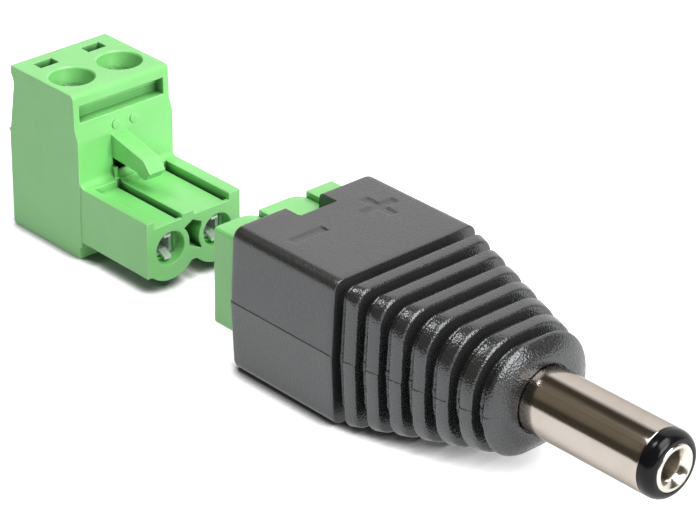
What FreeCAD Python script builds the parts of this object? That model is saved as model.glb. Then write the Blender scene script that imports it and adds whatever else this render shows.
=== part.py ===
import FreeCAD, Part
import math
import os

# Low-voltage power plug adapter in two halves, lying as they are shown: a pluggable screw terminal
# drawn out of the pin header that is moulded into the back of a round barrel plug.
# Millimetres. X runs from the terminal's back to the barrel's tip, Z is up, Y = 0 is the middle.
# The origin is the middle of the whole set on the surface that it stands on.

Vec = FreeCAD.Vector

# Contact layout
PITCH = 5.08
POLES = 2
POLE_NAMES = ("minus", "plus")
PIN_SIZE = 1.0
FIT_GAP = 0.12

# Terminal housing, side outline
PLUG_WIDTH = PITCH * POLES
PLUG_HEIGHT = 15.0
PLUG_LENGTH = 18.3
BLOCK_DEPTH = 9.45
BLOCK_TOP_DEPTH = 8.95
FRONT_ROUND = 0.45
FRONT_SLOPE_TOP_Z = 12.0
FRONT_SLOPE_LOW_Z = 10.9
FRONT_SLOPE_STEP = 0.1
WALL_ROOT_ROUND = 0.55
FOOT_CHAMFER = 0.25
FOOT_DEPTH = 9.2
FOOT_NOTCH_HEIGHT = 1.1
FOOT_NOTCH_LENGTH = 1.0
BACK_TOOTH = 0.2
BACK_TOOTH_Z = 8.95
BACK_TOOTH_RISE = 0.22
BACK_UPPER_INSET = 0.12
BACK_NECK_INSET = 0.8
BACK_NECK_Z = 13.4
LIP_INSET = 0.45
LIP_HEIGHT = 0.7

# Terminal housing, mating end
SOCKET_Z = 3.75
SOCKET_R = 1.5
SOCKET_WALL = 1.0
SOCKET_CHAMFER = 0.06
BOSS_R = 2.9
MATE_SIDE_INSET = 0.08
MATE_SIDE_Z = 1.65
MATE_WEB_Z = 1.9
MATE_TOP_Z = 6.75
RECESS_FLOOR_Z = 6.1
RECESS_BACK_X = 10.3
RIB_TOP_Z = 6.5
RIB_WIDTH = 1.25
SIDE_RAIL_WIDTH = 0.85
CODE_GROOVE_OFFSET = 0.83
CODE_GROOVE_WIDTH = 0.46
CODE_GROOVE_DEPTH = 0.85
CODE_GROOVE_BACK_X = 10.0
CODE_GROOVE_END = 0.35
KEYHOLE_OUTLINE = ((-1.12, 1.32), (-0.16, 1.88), (0.82, 1.4), (0.75, -1.06), (-0.6, -0.45))
KEYHOLE_WALL_R = 2.0
KEYHOLE_DEPTH = 6.0

# Terminal housing, latch arm and front wall
LATCH_Y = -0.75
LATCH_WIDTH = 1.65
LATCH_ROOT_TOP_Z = 10.7
LATCH_ROOT_LOW_Z = 8.6
LATCH_KNEE_REACH = 4.25
LATCH_KNEE_Z = 9.75
LATCH_TIP_REACH = 5.1
LATCH_TIP_Z = 8.8
LATCH_HOOK_Z = 8.05
LATCH_HOOK_BACK_REACH = 4.0
LATCH_HOOK_FRONT_REACH = 4.5
LATCH_RAMP_REACH = 3.2
LATCH_RAMP_Z = 8.42
POCKET_WIDTH = 1.4
POCKET_DEPTH = 1.6
POCKET_LOW_Z = 6.35
POST_WIDTH = 0.35
POST_REACH = 0.45
POST_HEIGHT = 1.0
STRIP_HALF_WIDTH = 4.5
STRIP_LOW_Z = 12.45
STRIP_HIGH_Z = 13.95
STRIP_DEPTH = 0.85
STRIP_GROOVE = 0.2
PIP_SPACING = 1.9
PIP_R = 0.38
PIP_PROUD = 0.18
PIP_Z = 11.4

# Terminal housing, top openings
WELL_X = 5.55
WELL_R = 1.925
WELL_RIM = 0.12
SLOT_X = 2.02
SLOT_LENGTH = 1.15
SLOT_WIDTH = 1.93
SLOT_DEPTH = 0.9
PROBE_WIDTH = 0.75
PROBE_DEPTH = 5.0

# Clamp: screw, rising cage and the bar that they close on
CLAMP_TRAVEL = 2.25
SCREW_R = 1.25
SCREW_HEAD_R = 1.85
SCREW_HEAD_HEIGHT = 1.4
SCREW_HEAD_DEPTH = 1.4
SCREW_SLOT_WIDTH = 0.55
SCREW_SLOT_DEPTH = 0.7
SCREW_TIP_GAP = 0.05
SCREW_EDGE = 0.15
SEAT_THICKNESS = 0.45
SEAT_CLEARANCE = 0.03
THREAD_GAP = 0.05
CAGE_LENGTH = 3.8
CAGE_HALF_WIDTH = 1.85
CAGE_SIDE = 0.5
CAGE_FLOOR_Z = 1.45
CAGE_FLOOR = 0.8
CAGE_NUT = 2.0
CAGE_EDGE = 0.25
CHAMBER_GAP = 0.06
BAR_Z = 5.2
BAR_THICKNESS = 0.7
BAR_HALF_WIDTH = 1.25
BAR_BACK_X = 3.2
ENTRY_HALF = 1.85
ENTRY_FUNNEL = 1.4
ENTRY_THROAT_HALF = 1.4
CONTACT_X = 9.0
CONTACT_END_X = 17.05
CONTACT_HALF = 1.1
CONTACT_STRIP = 0.3
TONGUE_HALF_WIDTH = 0.35
TONGUE_ROOT_X = 12.2
TONGUE_GRIP_X = 17.1
TONGUE_GRIP_GAP = 0.48
TONGUE_LIP_X = 17.9
TONGUE_LIP_GAP = 0.88

# Where the second half lies
HALVES_GAP = 10.15

# Moulded body: block
BODY_HALF_WIDTH = 7.76
BODY_HEIGHT = 12.6
BODY_BLOCK_LENGTH = 12.0
BODY_EDGE_R = 0.95
BODY_BACK_R = 0.5
BACK_STEPS = 3
BODY_DRAFT = 0.3
PARTING_STEP = 0.05
NOTCH_DEPTH = 1.96
NOTCH_LOW_Y = -2.05
NOTCH_HIGH_Y = 1.8
MARK_X = 4.9
MARK_Y = 3.7
MARK_LENGTH = 3.5
MARK_WIDTH = 0.75
MARK_DEPTH = 0.18

# Moulded body: ribbed tail and nose
RIB_COUNT = 6
RIB_PITCH = 2.14
RIB_THICKNESS = 1.12
RIB_EDGE = 0.14
GROOVE_DEPTH = 1.0
NOSE_LENGTH = 1.2
NOSE_HALF_WIDTH = 5.35
NOSE_HALF_HEIGHT = 4.75
NOSE_CORNER_R = 4.5
NOSE_TAPER = 0.35
NOSE_EDGE = 0.7

# Pin header
HEADER_WIDTH = 12.7
HEADER_HEIGHT = 8.6
HEADER_LENGTH = 12.0
HEADER_PROUD = 3.3
HEADER_EDGE_R = 0.3
HEADER_FLOOR = 2.6
HEADER_BELOW_PIN = 3.95
PIN_SET_BACK = 1.8
PIN_POINT = 0.3
PIN_TAIL = 3.0
SCALLOP_OFFSET = 0.84
SCALLOP_WIDTH = 1.9
SCALLOP_DEPTH = 0.58
RAIL_LENGTH = 3.1
RAIL_STEP = 0.55

# Barrel
BARREL_R = 2.75
SLEEVE_WALL = 0.4
SLEEVE_NECK = 0.17
SLEEVE_EXPOSED = 11.73
SLEEVE_BURIED = 5.5
SLEEVE_FLANGE_R = 3.3
SLEEVE_FLANGE = 0.6
TIP_RING_LENGTH = 1.3
TIP_RING_R = 2.74
TIP_RING_FACE_R = 2.05
RIM_R = 1.95
RIM_THICKNESS = 0.35
RIM_PROUD = 0.06
BORE_R = 1.05
BORE_FLARE = 0.48
BORE_DEPTH = 12.6
CENTRE_WALL = 0.4
INSULATOR_TAIL = 1.2
CENTRE_TAIL = 1.9

# Solder tags and link wires
TAG_THICKNESS = 0.5
TAG_RING_R = 3.4
TAG_WIDTH = 1.4
TAG_Y = -3.1
TAG_LENGTH = 4.0
WIRE_R = 0.4
WIRE_COVER_R = 0.75
WIRE_STRIPPED = 2.2
SOLDER_R = 1.15
SOLDER_RISE = 0.35
SOLDER_LENGTH = 1.5
SOLDER_OVER = 0.2

# Places that follow from the sizes above
BODY_PROUD_X = PLUG_LENGTH + HALVES_GAP + HEADER_PROUD
TAIL_END = BODY_BLOCK_LENGTH + (RIB_COUNT + 1) * RIB_PITCH - RIB_THICKNESS
NOSE_FACE = TAIL_END + NOSE_LENGTH
SLEEVE_END = NOSE_FACE + SLEEVE_EXPOSED
TIP_END = SLEEVE_END + TIP_RING_LENGTH
OVERALL = BACK_TOOTH + BODY_PROUD_X + TIP_END + RIM_PROUD
PLUG_X = BACK_TOOTH - OVERALL / 2.0
BODY_X = PLUG_X + BODY_PROUD_X
AXIS_Z = BODY_HEIGHT / 2.0
HEADER_LOW_Z = AXIS_Z - HEADER_BELOW_PIN
HEADER_TOP_Z = HEADER_LOW_Z + HEADER_HEIGHT
HEADER_BACK = HEADER_LENGTH - HEADER_PROUD
MATE_RISE = AXIS_Z - SOCKET_Z
WIRE_Z = AXIS_Z + PIN_SIZE / 2.0 + WIRE_R
HEAD_TOP_Z = PLUG_HEIGHT - SCREW_HEAD_DEPTH
HEAD_LOW_Z = HEAD_TOP_Z - SCREW_HEAD_HEIGHT
CHAMBER_TOP_Z = HEAD_LOW_Z - SEAT_CLEARANCE - SEAT_THICKNESS
BAR_TOP_Z = BAR_Z + BAR_THICKNESS
CAGE_NUT_Z = BAR_TOP_Z + 0.2
CAGE_TOP_Z = CAGE_NUT_Z + CAGE_NUT
WEB_X = CONTACT_X - CONTACT_STRIP


def pole_y(index):
    """Y of one pole's centre line."""
    return (index - (POLES - 1) / 2.0) * PITCH


def box(x0, x1, y0, y1, z0, z1):
    """Block between two corners."""
    return Part.makeBox(x1 - x0, y1 - y0, z1 - z0, Vec(x0, y0, z0))


def rod_x(x0, x1, radius, y, z):
    """Round bar along X."""
    return Part.makeCylinder(radius, x1 - x0, Vec(x0, y, z), Vec(1, 0, 0))


def rod_z(z0, z1, radius, x, y):
    """Round bar along Z."""
    return Part.makeCylinder(radius, z1 - z0, Vec(x, y, z0), Vec(0, 0, 1))


def join(solids):
    """One shape from solids that touch or overlap."""
    return solids[0].fuse(solids[1:]).removeSplitter()


def outline_xz(points, y):
    """Closed outline of straight edges in a plane of constant Y, from (x, z) points."""
    ring = [Vec(x, y, z) for x, z in points]
    return Part.makePolygon(ring + ring[:1])


def slab_y(wire, width):
    """Solid made by drawing an XZ outline out along +Y."""
    return Part.Face(wire).extrude(Vec(0, width, 0))


def taper_x(x0, half0, x1, half1, y, z):
    """Square funnel along X, from one half width to another."""
    rings = []
    for x, half in ((x0, half0), (x1, half1)):
        corners = [Vec(x, y - half, z - half), Vec(x, y + half, z - half),
                   Vec(x, y + half, z + half), Vec(x, y - half, z + half)]
        rings.append(Part.makePolygon(corners + corners[:1]))
    return Part.makeLoft(rings, True, True)


def turn_x(edges, z):
    """Solid turned about the X axis at height z, from a closed outline of edges in (x, radius)."""
    solid = Part.Face(Part.Wire(edges)).revolve(Vec(0, 0, 0), Vec(1, 0, 0), 360)
    solid.translate(Vec(0, 0, z))
    return solid


def line(a, b):
    """Straight edge of a turned outline, from (x, radius) to (x, radius)."""
    return Part.LineSegment(Vec(a[0], a[1], 0), Vec(b[0], b[1], 0)).toShape()


def curve(a, m, b):
    """Round edge of a turned outline through three (x, radius) points."""
    return Part.Arc(Vec(a[0], a[1], 0), Vec(m[0], m[1], 0), Vec(b[0], b[1], 0)).toShape()


def chain(points):
    """Closed run of straight edges through (x, radius) points."""
    return [line(a, b) for a, b in zip(points, points[1:] + points[:1])]


def save(shape, node):
    """One piece to its own file, as clean solids."""
    solids = shape.Solids
    piece = solids[0] if len(solids) == 1 else Part.makeCompound(solids)
    piece.exportStep(os.path.join("parts", node + ".step"))


# Terminal housing
def plug_side_outline():
    """Side outline of the terminal block: lip, neck, tooth, foot, sloped front and round top edge."""
    x = PLUG_X
    y = -PLUG_WIDTH / 2.0
    front_top = x + BLOCK_TOP_DEPTH
    front_mid = front_top + FRONT_SLOPE_STEP
    front_low = x + BLOCK_DEPTH
    lip_low = PLUG_HEIGHT - LIP_HEIGHT
    neck_x = x + BACK_NECK_INSET
    lip_x = x + LIP_INSET
    low = [(lip_x, PLUG_HEIGHT), (lip_x, lip_low)]
    back = [(neck_x, BACK_NECK_Z),
            (x + BACK_UPPER_INSET, BACK_TOOTH_Z + BACK_TOOTH_RISE),
            (x - BACK_TOOTH, BACK_TOOTH_Z),
            (x, BACK_TOOTH_Z - BACK_TOOTH_RISE),
            (x, FOOT_CHAMFER),
            (x + FOOT_CHAMFER, 0.0),
            (x + FOOT_DEPTH, 0.0),
            (x + FOOT_DEPTH, FOOT_NOTCH_HEIGHT),
            (front_low, FOOT_NOTCH_HEIGHT),
            (front_low, FRONT_SLOPE_LOW_Z),
            (front_mid, FRONT_SLOPE_TOP_Z),
            (front_top, PLUG_HEIGHT - FRONT_ROUND)]
    bend = 0.7 * (neck_x - lip_x) + lip_x
    neck = Part.Arc(Vec(lip_x, y, lip_low), Vec(bend, y, (lip_low + BACK_NECK_Z) / 2.0),
                    Vec(neck_x, y, BACK_NECK_Z)).toShape()
    diagonal = FRONT_ROUND * (1.0 - math.sqrt(0.5))
    top_round = Part.Arc(Vec(front_top, y, PLUG_HEIGHT - FRONT_ROUND),
                         Vec(front_top - diagonal, y, PLUG_HEIGHT - diagonal),
                         Vec(front_top - FRONT_ROUND, y, PLUG_HEIGHT)).toShape()
    edges = [Part.LineSegment(Vec(a[0], y, a[1]), Vec(b[0], y, b[1])).toShape()
             for run in (low, back) for a, b in zip(run, run[1:])]
    edges.append(neck)
    edges.append(top_round)
    edges.append(Part.LineSegment(Vec(front_top - FRONT_ROUND, y, PLUG_HEIGHT),
                                  Vec(lip_x, y, PLUG_HEIGHT)).toShape())
    return Part.Wire(Part.__sortEdges__(edges))


def mating_section(x0, x1, grow, rise):
    """Outside of the mating end: rails, web and a round boss under each socket, grown for a fit."""
    half = PLUG_WIDTH / 2.0 - MATE_SIDE_INSET + grow
    web_half = PITCH / 2.0
    pieces = [box(x0, x1, -half, half, SOCKET_Z + rise, MATE_TOP_Z + grow + rise),
              box(x0, x1, -web_half, web_half, MATE_WEB_Z - grow + rise, SOCKET_Z + rise),
              box(x0, x1, -half, half, MATE_SIDE_Z - grow + rise, SOCKET_Z + rise)]
    side_gap = box(x0, x1, -web_half, web_half, 0.0, MATE_WEB_Z - grow + rise)
    shell = join(pieces).cut(side_gap)
    bosses = []
    for index in range(POLES):
        boss = rod_x(x0, x1, BOSS_R + grow, pole_y(index), SOCKET_Z + rise)
        bosses.append(boss.common(box(x0, x1, -half, half, 0.0, SOCKET_Z + rise)))
    return join([shell] + bosses)


def latch_arm():
    """Latch arm: a beam off the front wall with a sloped tip and a hook under it."""
    root = PLUG_X + BLOCK_DEPTH
    buried = root - POCKET_DEPTH / 2.0
    points = [(buried, LATCH_ROOT_TOP_Z),
              (root, LATCH_ROOT_TOP_Z),
              (root + LATCH_KNEE_REACH, LATCH_KNEE_Z),
              (root + LATCH_TIP_REACH, LATCH_TIP_Z),
              (root + LATCH_HOOK_FRONT_REACH, LATCH_HOOK_Z),
              (root + LATCH_HOOK_BACK_REACH, LATCH_HOOK_Z),
              (root + LATCH_RAMP_REACH, LATCH_RAMP_Z),
              (root, LATCH_ROOT_LOW_Z),
              (buried, LATCH_ROOT_LOW_Z)]
    return slab_y(outline_xz(points, LATCH_Y - LATCH_WIDTH / 2.0), LATCH_WIDTH)


def wall_root_fillets():
    """Rounded inner corner where the front wall meets the mating end's rails."""
    root = PLUG_X + BLOCK_DEPTH
    half = PLUG_WIDTH / 2.0 - MATE_SIDE_INSET
    rise = MATE_TOP_Z + WALL_ROOT_ROUND
    block = box(root, root + WALL_ROOT_ROUND, -half, half, MATE_TOP_Z, rise)
    hollow = Part.makeCylinder(WALL_ROOT_ROUND, 2.0 * half,
                               Vec(root + WALL_ROOT_ROUND, -half, rise), Vec(0, 1, 0))
    return block.cut(hollow)


def mating_top_cuts():
    """Lowered floors, middle rib and coding grooves on top of the mating end."""
    end = PLUG_X + PLUG_LENGTH
    back = PLUG_X + RECESS_BACK_X
    low = SIDE_RAIL_WIDTH - PLUG_WIDTH / 2.0
    cuts = []
    for index in range(POLES):
        groove = pole_y(index) + CODE_GROOVE_OFFSET
        high = groove + CODE_GROOVE_WIDTH
        cuts.append(box(back, end, low, high, RECESS_FLOOR_Z, MATE_TOP_Z))
        cuts.append(box(PLUG_X + CODE_GROOVE_BACK_X, end - CODE_GROOVE_END, groove, high,
                        RECESS_FLOOR_Z - CODE_GROOVE_DEPTH, MATE_TOP_Z))
        low = high + RIB_WIDTH
        if index < POLES - 1:
            cuts.append(box(back, end, high, low, RIB_TOP_Z, MATE_TOP_Z))
    return cuts


def keyholes():
    """Gabled openings between neighbouring sockets, pinched by the round socket walls."""
    end = PLUG_X + PLUG_LENGTH
    cuts = []
    for index in range(POLES - 1):
        middle = (pole_y(index) + pole_y(index + 1)) / 2.0
        ring = [Vec(end - KEYHOLE_DEPTH, middle + y, SOCKET_Z + z) for y, z in KEYHOLE_OUTLINE]
        hole = Part.Face(Part.makePolygon(ring + ring[:1])).extrude(Vec(KEYHOLE_DEPTH, 0, 0))
        for side in (index, index + 1):
            hole = hole.cut(rod_x(end - KEYHOLE_DEPTH, end, KEYHOLE_WALL_R, pole_y(side), SOCKET_Z))
        cuts.append(hole)
    return cuts


def pole_cuts(index):
    """Everything that is hollow in the housing for one pole."""
    y = pole_y(index)
    end = PLUG_X + PLUG_LENGTH
    axis_x = PLUG_X + WELL_X
    chamber_half = CAGE_HALF_WIDTH + CHAMBER_GAP
    chamber_reach = CAGE_LENGTH / 2.0 + CHAMBER_GAP
    contact_half = CONTACT_HALF + CHAMBER_GAP
    cuts = [
        rod_z(HEAD_LOW_Z - SEAT_CLEARANCE, PLUG_HEIGHT, WELL_R, axis_x, y),
        Part.makeCone(WELL_R, WELL_R + WELL_RIM, WELL_RIM, Vec(axis_x, y, PLUG_HEIGHT - WELL_RIM)),
        rod_z(CHAMBER_TOP_Z, HEAD_LOW_Z, SCREW_R + THREAD_GAP, axis_x, y),
        box(axis_x - chamber_reach, axis_x + chamber_reach, y - chamber_half, y + chamber_half,
            CAGE_FLOOR_Z - CHAMBER_GAP, CHAMBER_TOP_Z),
        box(PLUG_X + SLOT_X - SLOT_LENGTH / 2.0, PLUG_X + SLOT_X + SLOT_LENGTH / 2.0,
            y - SLOT_WIDTH / 2.0, y + SLOT_WIDTH / 2.0, PLUG_HEIGHT - SLOT_DEPTH, PLUG_HEIGHT),
        box(PLUG_X + SLOT_X - SLOT_LENGTH / 2.0, PLUG_X + SLOT_X + SLOT_LENGTH / 2.0,
            y + SLOT_WIDTH / 2.0 - PROBE_WIDTH, y + SLOT_WIDTH / 2.0,
            PLUG_HEIGHT - PROBE_DEPTH, PLUG_HEIGHT - SLOT_DEPTH),
        taper_x(PLUG_X, ENTRY_HALF, PLUG_X + ENTRY_FUNNEL, ENTRY_THROAT_HALF, y, SOCKET_Z),
        box(PLUG_X + ENTRY_FUNNEL, axis_x, y - ENTRY_THROAT_HALF, y + ENTRY_THROAT_HALF,
            SOCKET_Z - ENTRY_THROAT_HALF, SOCKET_Z + ENTRY_THROAT_HALF),
        box(PLUG_X + BAR_BACK_X, PLUG_X + CONTACT_X, y - BAR_HALF_WIDTH, y + BAR_HALF_WIDTH,
            BAR_Z, BAR_TOP_Z),
        box(PLUG_X + WEB_X, PLUG_X + CONTACT_X, y - CONTACT_HALF, y + CONTACT_HALF,
            SOCKET_Z - CONTACT_HALF, BAR_TOP_Z),
        box(PLUG_X + CONTACT_X, end - SOCKET_WALL, y - contact_half, y + contact_half,
            SOCKET_Z - contact_half, SOCKET_Z + contact_half),
        rod_x(end - SOCKET_WALL, end, SOCKET_R, y, SOCKET_Z),
        Part.makeCone(SOCKET_R, SOCKET_R + SOCKET_CHAMFER, SOCKET_CHAMFER,
                      Vec(end - SOCKET_CHAMFER, y, SOCKET_Z), Vec(1, 0, 0)),
    ]
    return cuts


def front_wall_cuts():
    """Marking-strip recess with its inner groove, and the pocket under the latch arm."""
    face = PLUG_X + BLOCK_DEPTH
    strip_x = PLUG_X + BLOCK_TOP_DEPTH - STRIP_DEPTH
    middle = (STRIP_LOW_Z + STRIP_HIGH_Z) / 2.0
    return [
        box(strip_x, face, -STRIP_HALF_WIDTH, STRIP_HALF_WIDTH, STRIP_LOW_Z, STRIP_HIGH_Z),
        box(strip_x - STRIP_GROOVE, strip_x, -STRIP_HALF_WIDTH, STRIP_HALF_WIDTH,
            STRIP_LOW_Z, middle),
        box(face - POCKET_DEPTH, face, LATCH_Y - POCKET_WIDTH / 2.0, LATCH_Y + POCKET_WIDTH / 2.0,
            POCKET_LOW_Z, LATCH_ROOT_LOW_Z),
    ]


def front_pips():
    """Two small round pips on the sloped band of the front wall."""
    slope_x = PLUG_X + BLOCK_TOP_DEPTH + FRONT_SLOPE_STEP
    slope = (BLOCK_DEPTH - BLOCK_TOP_DEPTH - FRONT_SLOPE_STEP) / (FRONT_SLOPE_TOP_Z - FRONT_SLOPE_LOW_Z)
    face = slope_x + slope * (FRONT_SLOPE_TOP_Z - PIP_Z)
    pips = []
    for side in (-0.5, 0.5):
        pips.append(rod_x(face - PIP_R, face + PIP_PROUD, PIP_R, side * PIP_SPACING, PIP_Z))
    return pips


def latch_post():
    """Short post at the foot of the wall, beside the pocket."""
    root = PLUG_X + BLOCK_DEPTH
    side = LATCH_Y - POCKET_WIDTH / 2.0
    return box(root - POST_REACH, root + POST_REACH, side - POST_WIDTH / 2.0,
               side + POST_WIDTH / 2.0, RIB_TOP_Z, MATE_TOP_Z + POST_HEIGHT)


def terminal_housing():
    """Green housing of the screw terminal, one moulding."""
    block = slab_y(plug_side_outline(), PLUG_WIDTH)
    mate = mating_section(PLUG_X + FOOT_DEPTH + FOOT_NOTCH_LENGTH, PLUG_X + PLUG_LENGTH, 0.0, 0.0)
    neck = mating_section(PLUG_X + FOOT_DEPTH / 2.0, PLUG_X + FOOT_DEPTH + FOOT_NOTCH_LENGTH, 0.0, 0.0)
    body = join([block, neck, mate, wall_root_fillets()])
    cuts = mating_top_cuts() + keyholes() + front_wall_cuts()
    for index in range(POLES):
        cuts += pole_cuts(index)
    body = body.cut(cuts)
    return join([body, latch_arm(), latch_post()] + front_pips())


# Clamp pieces
def clamp_screw(index):
    """Captive slotted screw: head in the well, shank through the cage down to the bar."""
    x = PLUG_X + WELL_X
    y = pole_y(index)
    head = rod_z(HEAD_LOW_Z, HEAD_TOP_Z, SCREW_HEAD_R, x, y)
    head = head.makeChamfer(SCREW_EDGE, [e for e in head.Edges if e.BoundBox.ZMin > HEAD_TOP_Z - 0.01])
    tip = BAR_TOP_Z + SCREW_TIP_GAP
    shank = rod_z(tip, HEAD_LOW_Z, SCREW_R, x, y)
    shank = shank.makeChamfer(SCREW_EDGE, [e for e in shank.Edges if e.BoundBox.ZMax < tip + 0.01])
    slot = box(x - SCREW_HEAD_R, x + SCREW_HEAD_R, y - SCREW_SLOT_WIDTH / 2.0,
               y + SCREW_SLOT_WIDTH / 2.0, HEAD_TOP_Z - SCREW_SLOT_DEPTH, HEAD_TOP_Z)
    return join([head, shank]).cut(slot)


def clamp_cage(index):
    """Rising cage in its open place: a threaded top, two sides and the floor that lifts the wire."""
    x = PLUG_X + WELL_X
    y = pole_y(index)
    reach = CAGE_LENGTH / 2.0
    cage = box(x - reach, x + reach, y - CAGE_HALF_WIDTH, y + CAGE_HALF_WIDTH, CAGE_FLOOR_Z, CAGE_TOP_Z)
    corners = [e for e in cage.Edges if e.BoundBox.XLength > CAGE_LENGTH - 0.01]
    cage = cage.makeFillet(CAGE_EDGE, corners)
    inner = CAGE_HALF_WIDTH - CAGE_SIDE
    window = box(x - reach, x + reach, y - inner, y + inner, CAGE_FLOOR_Z + CAGE_FLOOR, CAGE_NUT_Z)
    hole = rod_z(CAGE_NUT_Z, CAGE_TOP_Z, SCREW_R + THREAD_GAP, x, y)
    return cage.cut([window, hole])


def socket_contact(index):
    """Spring contact: clamping bar, web down to the socket and a folded box with two tongues."""
    y = pole_y(index)
    bar = box(PLUG_X + BAR_BACK_X, PLUG_X + CONTACT_X, y - BAR_HALF_WIDTH, y + BAR_HALF_WIDTH,
              BAR_Z, BAR_TOP_Z)
    web = box(PLUG_X + WEB_X, PLUG_X + CONTACT_X, y - CONTACT_HALF, y + CONTACT_HALF,
              SOCKET_Z - CONTACT_HALF, BAR_TOP_Z)
    inner = CONTACT_HALF - CONTACT_STRIP
    tube = box(PLUG_X + CONTACT_X, PLUG_X + CONTACT_END_X, y - CONTACT_HALF, y + CONTACT_HALF,
               SOCKET_Z - CONTACT_HALF, SOCKET_Z + CONTACT_HALF)
    tube = tube.cut(box(PLUG_X + CONTACT_X, PLUG_X + CONTACT_END_X, y - inner, y + inner,
                        SOCKET_Z - inner, SOCKET_Z + inner))
    middle = [(TONGUE_ROOT_X, inner), (TONGUE_GRIP_X, TONGUE_GRIP_GAP), (TONGUE_LIP_X, TONGUE_LIP_GAP)]
    outer = [(x, gap + CONTACT_STRIP * 0.9) for x, gap in reversed(middle)]
    pieces = [bar, web, tube]
    for side in (-1, 1):
        points = [(PLUG_X + x, SOCKET_Z + side * gap) for x, gap in middle + outer]
        pieces.append(slab_y(outline_xz(points, y - TONGUE_HALF_WIDTH), 2.0 * TONGUE_HALF_WIDTH))
    return join(pieces)


# Moulded body
def body_section(x, inset, share, shrink):
    """Rounded outline of the moulding at x, its sides drafted from the parting line.

    share is 0 at the block and 1 at the nose, inset goes in all round, and shrink narrows both ways.
    """
    half = BODY_HALF_WIDTH + (NOSE_HALF_WIDTH - BODY_HALF_WIDTH) * share - inset - shrink
    tall = AXIS_Z + (NOSE_HALF_HEIGHT - AXIS_Z) * share - inset - shrink
    radius = BODY_EDGE_R + (NOSE_CORNER_R - BODY_EDGE_R) * share
    radius = min(radius, tall - 0.1, half - 0.1)
    draft = BODY_DRAFT * (1.0 - share)
    side = half - draft
    px = BODY_X + x
    z = AXIS_Z
    step = half - PARTING_STEP
    diagonal = radius * (1.0 - math.sqrt(0.5))

    def at(y, dz):
        return Vec(px, y, z + dz)

    def corner(sy, sz):
        a = at(sy * side, sz * (tall - radius))
        m = at(sy * (side - diagonal), sz * (tall - diagonal))
        b = at(sy * (side - radius), sz * tall)
        return a, m, b

    edges = []
    ra, rm, rb = corner(1, 1)
    la, lm, lb = corner(-1, 1)
    lla, llm, llb = corner(-1, -1)
    rra, rrm, rrb = corner(1, -1)
    for start, end in ((at(half, 0.0), at(step, 0.0)), (at(step, 0.0), ra)):
        edges.append(Part.LineSegment(start, end).toShape())
    edges.append(Part.Arc(ra, rm, rb).toShape())
    edges.append(Part.LineSegment(rb, lb).toShape())
    edges.append(Part.Arc(lb, lm, la).toShape())
    for start, end in ((la, at(-step, 0.0)), (at(-step, 0.0), at(-half, 0.0)), (at(-half, 0.0), lla)):
        edges.append(Part.LineSegment(start, end).toShape())
    edges.append(Part.Arc(lla, llm, llb).toShape())
    edges.append(Part.LineSegment(llb, rrb).toShape())
    edges.append(Part.Arc(rrb, rrm, rra).toShape())
    edges.append(Part.LineSegment(rra, at(half, 0.0)).toShape())
    return Part.Wire(edges)


def tail_share(x):
    """How far along the tail a place lies, 0 at the block and 1 where the nose starts."""
    return max(0.0, (x - BODY_BLOCK_LENGTH) / (TAIL_END - BODY_BLOCK_LENGTH))


def tail_piece(stations):
    """Solid through sections at (x, inset, shrink) stations along the body."""
    wires = [body_section(x, inset, tail_share(min(x, TAIL_END)), shrink) for x, inset, shrink in stations]
    return Part.makeLoft(wires, True, True)


def body_outside():
    """Block, ribbed tail and nose, before anything is let into them."""
    block_end = BODY_BLOCK_LENGTH
    back = []
    for step in range(BACK_STEPS + 1):
        angle = step * math.pi / 2.0 / BACK_STEPS
        back.append((BODY_BACK_R * (1.0 - math.cos(angle)), BODY_BACK_R * (1.0 - math.sin(angle)), 0.0))
    pieces = [tail_piece(back + [(block_end - RIB_EDGE, 0.0, 0.0), (block_end, RIB_EDGE, 0.0)])]
    pieces.append(tail_piece([(block_end - RIB_EDGE, GROOVE_DEPTH, 0.0),
                              (TAIL_END + RIB_EDGE, GROOVE_DEPTH, 0.0)]))
    groove = RIB_PITCH - RIB_THICKNESS
    for number in range(RIB_COUNT):
        start = block_end + groove + number * RIB_PITCH
        end = start + RIB_THICKNESS
        pieces.append(tail_piece([(start, RIB_EDGE, 0.0), (start + RIB_EDGE, 0.0, 0.0),
                                  (end - RIB_EDGE, 0.0, 0.0), (end, RIB_EDGE, 0.0)]))
    edge_x = NOSE_FACE - NOSE_EDGE
    pieces.append(tail_piece([(TAIL_END, RIB_EDGE, 0.0), (TAIL_END + RIB_EDGE, 0.0, 0.0),
                              (edge_x, 0.0, NOSE_TAPER),
                              (NOSE_FACE - NOSE_EDGE * 0.3, 0.0, NOSE_TAPER + NOSE_EDGE * 0.3),
                              (NOSE_FACE, 0.0, NOSE_TAPER + NOSE_EDGE)]))
    return join(pieces)


def polarity_marks():
    """Sunk minus and plus signs on top of the block."""
    x = BODY_X + MARK_X
    half = MARK_LENGTH / 2.0
    thin = MARK_WIDTH / 2.0
    low = BODY_HEIGHT - MARK_DEPTH
    marks = []
    for y in (-MARK_Y, MARK_Y):
        marks.append(box(x - thin, x + thin, y - half, y + half, low, BODY_HEIGHT))
    marks.append(box(x - half, x + half, MARK_Y - thin, MARK_Y + thin, low, BODY_HEIGHT))
    return marks


def moulded_body(buried):
    """Black overmoulding round the header, the links and the barrel's root."""
    body = body_outside()
    notch = box(BODY_X, BODY_X + NOTCH_DEPTH, NOTCH_LOW_Y, NOTCH_HIGH_Y,
                HEADER_TOP_Z - RAIL_STEP, BODY_HEIGHT)
    return body.cut([notch] + polarity_marks()).cut(buried)


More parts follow.
